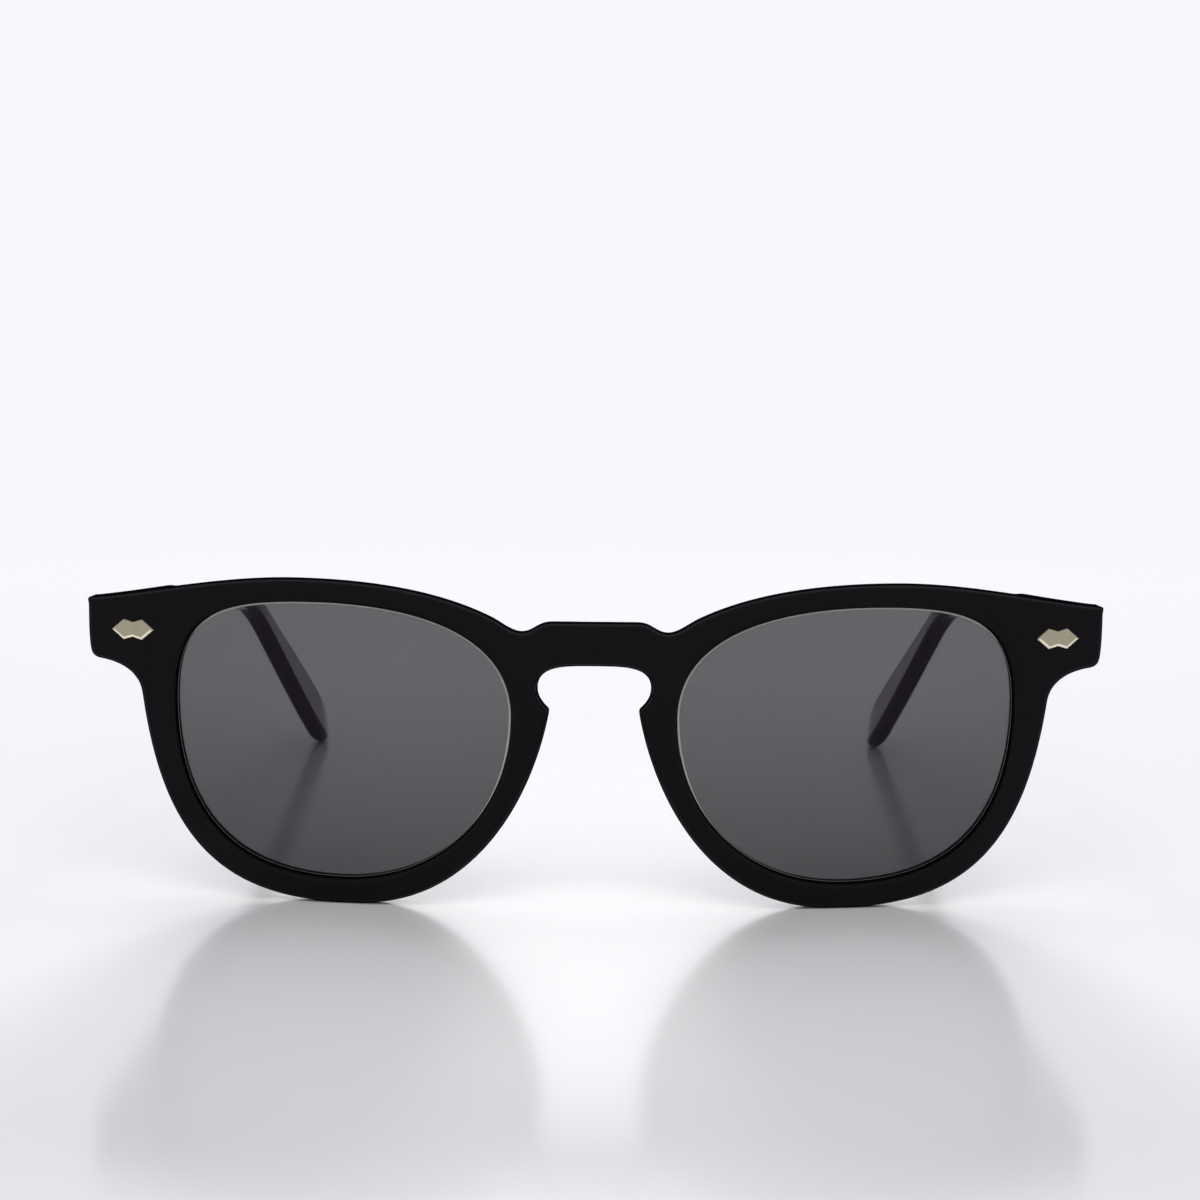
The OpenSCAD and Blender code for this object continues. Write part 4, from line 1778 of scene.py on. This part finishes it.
@dataclass
class Hinge:
    """A five-barrel hinge with its screw."""

    front: AcetateFront
    temple: Temple
    height: float = 6.4
    barrel_d: float = 3.0
    bore_d: float = 1.46
    screw_d: float = 1.4
    head_d: float = 2.1
    head_h: float = 0.5
    head_room: float = 0.03
    head_edge: tuple[tuple[float, float], ...] = ((0.0, 0.2), (0.07, 0.09), (0.2, 0.03))
    crown_drop: float = 0.01
    point: float = 0.15
    axis_off: float = 1.7
    leaf_t: float = 0.9
    leaf_proud: float = 0.06
    front_leaf_w: float = 5.2
    temple_leaf_l: float = 8.0
    barrel_gap: float = 0.06
    bevel: float = 0.1
    bevel_round: float = 0.3
    barrels: int = 5
    neck_in: float = 0.4
    neck_clear: float = 0.15
    neck_sunk: float = 0.2
    neck_bevel: float = 0.08
    leaf_off: float = 0.5
    slot_half: float = 0.17
    slot_deep: float = 0.24
    screw_steps: int = 48

    @property
    def axis(self) -> tuple[float, float]:
        """Place of the +X hinge axis in x and y."""
        return self.inner_side - self.axis_off, self.back + self.axis_off

    @property
    def low(self) -> float:
        """Lowest point of the hinge."""
        return self.temple.height - self.height / 2

    @property
    def back(self) -> float:
        """Back of the lugs."""
        return self.front.y0 + self.front.lug_back

    @property
    def inner_side(self) -> float:
        """Inner side of the +X temple's hinge end."""
        return self.front.outline.end_x - self.temple.thickness

    @property
    def neck_half(self) -> float:
        """Half the width of a barrel's neck."""
        return self.barrel_d / 2 - self.neck_in

    def barrel(self, made: Turned, number: int) -> tuple[float, float]:
        """Adds one barrel.

        Args:
            made: The hinge half that it goes into.
            number: Its number, counted from the lowest.

        Returns:
            Its lowest and highest point.
        """
        tall = (self.height - (self.barrels - 1) * self.barrel_gap) / self.barrels
        bottom = self.low + number * (tall + self.barrel_gap)
        outer, inner, cut = self.barrel_d / 2, self.bore_d / 2, self.bevel
        soft = cut * self.bevel_round
        profile = [(outer, cut), (outer, tall - cut), (outer - soft, tall - soft), (outer - cut, tall)]
        if number == self.barrels - 1:
            head = self.head_d / 2 + self.head_room
            profile += [(head, tall), (head, tall - self.head_h), (inner, tall - self.head_h)]
        else:
            profile += [(inner, tall)]
        profile += [(inner, 0), (outer - cut, 0), (outer - soft, soft)]
        made.ring((*self.axis, bottom), profile)
        return bottom, bottom + tall

    def front_half(self) -> Turned:
        """Leaf and three barrels on the lug.

        Returns:
            The half.
        """
        made = Turned()
        x, y = self.axis
        edge = self.inner_side - self.leaf_off
        made.block((edge - self.front_leaf_w, self.back - self.leaf_t, self.low),
                   (edge, self.back + self.leaf_proud, self.low + self.height), self.bevel)
        near = y - self.bore_d / 2 - self.neck_clear
        for number in range(0, self.barrels, 2):
            low, high = self.barrel(made, number)
            made.block((x - self.neck_half, self.back - self.neck_sunk, low),
                       (x + self.neck_half, near, high), self.neck_bevel)
        return made

    def temple_half(self) -> Turned:
        """Leaf and two barrels on the temple.

        Returns:
            The half.
        """
        made = Turned()
        x, y = self.axis
        start = self.back + self.leaf_off
        made.block((self.inner_side - self.leaf_proud, start, self.low),
                   (self.inner_side + self.leaf_t, start + self.temple_leaf_l, self.low + self.height),
                   self.bevel)
        near = x + self.bore_d / 2 + self.neck_clear
        for number in range(1, self.barrels, 2):
            low, high = self.barrel(made, number)
            made.block((near, y - self.neck_half, low),
                       (self.inner_side + self.neck_sunk, y + self.neck_half, high), self.neck_bevel)
        return made

    def screw(self) -> Turned:
        """Screw with a domed, slotted head.

        Returns:
            The screw.
        """
        made = Turned()
        shank, head = self.screw_d / 2, self.head_d / 2
        tall = self.height
        under = tall - self.head_h
        crown = tall - self.crown_drop
        profile = [(0, 0), (shank - self.point, 0), (shank, self.point), (shank, under), (head, under)]
        profile += [(head - inset, tall - drop) for inset, drop in self.head_edge]
        profile += [(head / 2, crown), (0, crown)]
        made.ring((*self.axis, self.low), profile, self.screw_steps)
        x, y = self.axis
        top = self.low + tall
        floor = top - self.slot_deep
        for at in (y - self.slot_half, y + self.slot_half):
            made.slice((x, at, top), (0, 1, 0))
        made.slice((x, y, floor), (0, 0, 1))
        within = [vert for vert in made.mesh.verts
                  if abs(vert.co.y - y) < self.slot_half - NEAR and vert.co.z > floor + NEAR]
        middles = [(face, face.calc_center_median()) for face in made.mesh.faces]
        cut = [face for face, middle in middles
               if middle.z > floor + NEAR and abs(middle.y - y) < self.slot_half - 10 * NEAR]
        bmesh.ops.delete(made.mesh, geom=within, context="VERTS")
        bmesh.ops.delete(made.mesh, geom=[face for face in cut if face.is_valid], context="FACES")
        self.close_slot(made)
        return made

    def close_slot(self, made: Turned) -> None:
        """Gives the slot its walls and its floor.

        Args:
            made: The screw.
        """
        y = self.axis[1]
        walls: dict[int, list[bmesh.types.BMEdge]] = {-1: [], 1: []}
        for edge in made.mesh.edges:
            start, end = (vert.co.y - y for vert in edge.verts)
            if edge.is_boundary and abs(start - end) < NEAR and abs(start + end) > self.slot_half:
                walls[1 if start > 0 else -1].append(edge)
        for edges in walls.values():
            ends = [vert for edge in edges for vert in edge.verts]
            tips = [vert for vert in dict.fromkeys(ends) if ends.count(vert) == 1]
            if len(tips) == 2:
                made.mesh.edges.new(tips)
        around = [edge for edge in made.mesh.edges if edge.is_boundary or edge.is_wire]
        bmesh.ops.holes_fill(made.mesh, edges=around, sides=0)

    def build(self, finish: bpy.types.Material) -> None:
        """Builds both hinges and their screws.

        Args:
            finish: Their material.
        """
        for side in Side:
            word = side.value
            for make, name, body, node in (
                (self.front_half, "front_leaf", "front", "front_hinge"),
                (self.temple_half, "temple_leaf", f"{word}_temple", "temple_hinge"),
                (self.screw, "screw", "front", "hinge_screw"),
            ):
                piece = make().build(f"{word}_{name}", finish, side)
                settle(piece, body, Slot.STEEL, f"{word}_{node}")


# Studio


@dataclass(frozen=True)
class Studio:
    """White sweep all round, lit softly from behind, above and in front."""

    floor_edge: Colour = (0.82, 0.818, 0.84)
    # Colour of the painted pool of light round the glasses
    floor_middle: Colour = (0.945, 0.948, 0.948)
    glow_front: tuple[float, float] = (-0.21, -0.09)
    glow_back: tuple[float, float] = (-0.06, 0.14)
    glow_end: float = 0.6
    glow_half_width: float = 0.085
    glow_behind: float = 0.75
    glow_aside: float = 0.85
    aside_span: tuple[float, float] = (0.25, 1.35)
    floor_roughness: float = 0.14
    roughness_spread: float = 0.05
    streak_stretch: tuple[float, float, float] = (0.12, 1, 1)
    streak_scale: float = 900
    streak_depth: float = 0.000004
    backdrop: Colour = (0.947, 0.93, 0.974)
    room: Colour = (0.15, 0.15, 0.178)
    overhead: float = 0.06
    behind_span: tuple[float, float] = (0.75, 0.95)
    above_span: tuple[float, float] = (0.5, 0.85)
    floor_reach: float = 1.6
    blend_from: float = 0.2
    blend_to: float = 0.8
    aim: tuple[float, float, float] = (0, 0, 0.02)

    def world(self) -> None:
        """White to the camera, to gloss and to glass.

        The light that it sheds comes mostly from behind and above.
        """
        world = bpy.data.worlds.new("studio")
        bpy.context.scene.world = world
        tree = Tree(world)
        ray = tree.add("ShaderNodeLightPath", {}, {})
        way = tree.add("ShaderNodeTexCoord", {}, {}).out("Generated")
        parts = tree.add("ShaderNodeSeparateXYZ", {}, {0: way})
        behind = parts.out("Y").smooth(*self.behind_span)
        above = self.overhead * parts.out("Z").smooth(*self.above_span)
        share = behind + above - behind * above
        room = tree.add("ShaderNodeBackground", {}, {"Color": tree.blend(share, self.room, self.backdrop)})
        white = tree.add("ShaderNodeBackground", {}, {"Color": self.backdrop, "Strength": 1.0})
        hidden = 1 - ray.out("Is Camera Ray")
        for kind in ("Is Glossy Ray", "Is Transmission Ray"):
            hidden = hidden * (1 - ray.out(kind))
        mix = tree.add("ShaderNodeMixShader", {}, {0: hidden, 1: white.out(), 2: room.out()})
        tree.add("ShaderNodeOutputWorld", {}, {"Surface": mix.out()})

    def floor(self) -> None:
        """Glossy white sheet with a painted pool of light round the glasses, that blends into the backdrop.
        """
        material, tree = new_material("floor_sheet")
        place = tree.place()
        streaks = tree.noise(tree.place(self.streak_stretch), self.streak_scale, 3)
        distance = tree.add("ShaderNodeVectorMath", {"operation": "LENGTH"}, {0: place}).out("Value")
        parts = tree.add("ShaderNodeSeparateXYZ", {}, {0: place})
        across, depth = parts.out("X"), parts.out("Y")
        # The base colour holds a painted pool of light round the glasses, which fades to the sides, in front
        # and behind
        aside = across * across * self.glow_half_width ** -2 + 1 - depth.smooth(*self.glow_front)
        near = depth.smooth(*self.glow_back)
        far = depth.smooth(self.glow_back[1], self.glow_end)
        behind = self.glow_behind * near + (1 - self.glow_behind) * far
        painted_pool = (1 - self.glow_aside * aside.smooth(*self.aside_span)) * (1 - behind)
        tree.surface(tree.add("ShaderNodeBsdfPrincipled", {}, {
            "Base Color": tree.blend(painted_pool, self.floor_edge, self.floor_middle),
            "Roughness": self.floor_roughness + self.roughness_spread * (streaks - 0.5),
            "IOR": 1.5,
            "Alpha": 1.0 - distance.smooth(self.blend_from, self.blend_to),
            "Normal": tree.bump(streaks, self.streak_depth),
        }))
        reach = self.floor_reach
        corners = [(-reach, -reach, 0), (reach, -reach, 0), (reach, reach, 0), (-reach, reach, 0)]
        mesh = bpy.data.meshes.new("floor_sheet")
        mesh.from_pydata(corners, [], [(0, 1, 2, 3)])
        new_piece("floor_sheet", mesh, material)

    def lamp(self, name: str, place: Sequence[float], size: float, power: float) -> None:
        """Adds a square lamp that points at the glasses.

        Args:
            name: Its name.
            place: Its place in metres.
            size: Its side in metres.
            power: Its power in watts.
        """
        light = bpy.data.lights.new(name, "AREA")
        light.size = size
        light.energy = power
        lamp = bpy.data.objects.new(name, light)
        lamp.visible_camera = False
        lamp.visible_glossy = False
        lamp.location = place
        lamp.rotation_euler = (Vector(self.aim) - Vector(place)).to_track_quat("-Z", "Y").to_euler()
        bpy.context.scene.collection.objects.link(lamp)

    def build(self) -> None:
        """Sets up the world, the floor and the lamps."""
        self.world()
        self.floor()
        self.lamp("front_lamp", (0.0, -1.0, 0.9), 1.2, 11.0)
        self.lamp("back_lamp", (0.0, 0.6, 0.8), 0.9, 2.5)
        self.lamp("low_lamp", (0.0, 2.6, 0.72), 0.9, 82.0)
        self.lamp("top_lamp", (0.0, 0.0, 1.1), 1.2, 1.5)
        bpy.context.scene.view_settings.view_transform = "Standard"
        log.info("studio: floor, world and lamps")


@dataclass(frozen=True)
class PhotoCamera:
    """The photograph's camera, worked out from the outlines.

    Distances are in millimetres from the foremost point of the front, and angles in radians.
    """

    x: float = 1.5
    away: float = 300.0
    height: float = 69.79
    yaw: float = -0.00283
    pitch: float = 0.09132
    roll: float = 0.00984
    focal_pixels: float = 2247.3
    picture: float = 1200.0
    sensor: float = 36.0

    def build(self, y0: float) -> None:
        """Makes the camera.

        Args:
            y0: Foremost point of the front, in millimetres.
        """
        turn, tip = self.yaw, self.pitch
        ahead = Vector((math.sin(turn) * math.cos(tip), math.cos(turn) * math.cos(tip), -math.sin(tip)))
        level = Vector((math.cos(turn), -math.sin(turn), 0))
        up = level.cross(ahead)
        right = math.cos(self.roll) * level + math.sin(self.roll) * up
        top = -math.sin(self.roll) * level + math.cos(self.roll) * up
        data = bpy.data.cameras.new("photo_camera")
        data.sensor_width = self.sensor
        data.lens = self.focal_pixels / self.picture * self.sensor
        data.clip_start = 0.01
        camera = bpy.data.objects.new("photo_camera", data)
        place = Vector((self.x, y0 - self.away, self.height)) * MM
        turned = Matrix((right, top, -ahead)).transposed().to_4x4()
        camera.matrix_world = Matrix.Translation(place) @ turned
        bpy.context.scene.collection.objects.link(camera)
        bpy.context.scene.camera = camera
        log.info("camera %.1f mm from the front", self.away)


def dress_wires(finish: bpy.types.Material) -> None:
    """Gives the core wires, which stay as the frame has them, their steel.

    Args:
        finish: Their material.
    """
    for side in Side:
        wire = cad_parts[f"{side.value}_core_wire"]
        wire.data.materials.clear()
        wire.data.materials.append(finish)
        log.info("%s keeps its solid", wire.name)


def main() -> None:
    """Builds the pieces in order."""
    logging.basicConfig(level=logging.INFO, format="%(name)s: %(message)s")
    y0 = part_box("front")[0].y / MM
    front_acetate = PolishedAcetate().material("front_acetate", Grazing.DARK)
    temple_acetate = PolishedAcetate(specular=0.12).material("temple_acetate", Grazing.SHINY)
    tint = SmokedLens().material()
    # Ground lens edge with a painted glow
    ground = GroundEdgeWithPaintedGlow().material()
    steel = STEEL.material()

    outline, bow, plaque = FrontOutline(), Bow(), PlaqueShape()
    front = AcetateFront(outline, bow, y0, plaque)
    front.build(front_acetate)
    Lens(outline, bow, y0).build(tint, ground)
    NosePad(outline, bow, y0).build(front_acetate)
    temple = Temple(front)
    temple.build(temple_acetate)
    Plaques(front, temple).build(SILVER.material(), SILVER_PAINTED_HIGHLIGHT.material())
    Hinge(front, temple).build(steel)
    dress_wires(steel)
    Studio().build()
    PhotoCamera().build(y0)


if __name__ == "__main__":
    main()
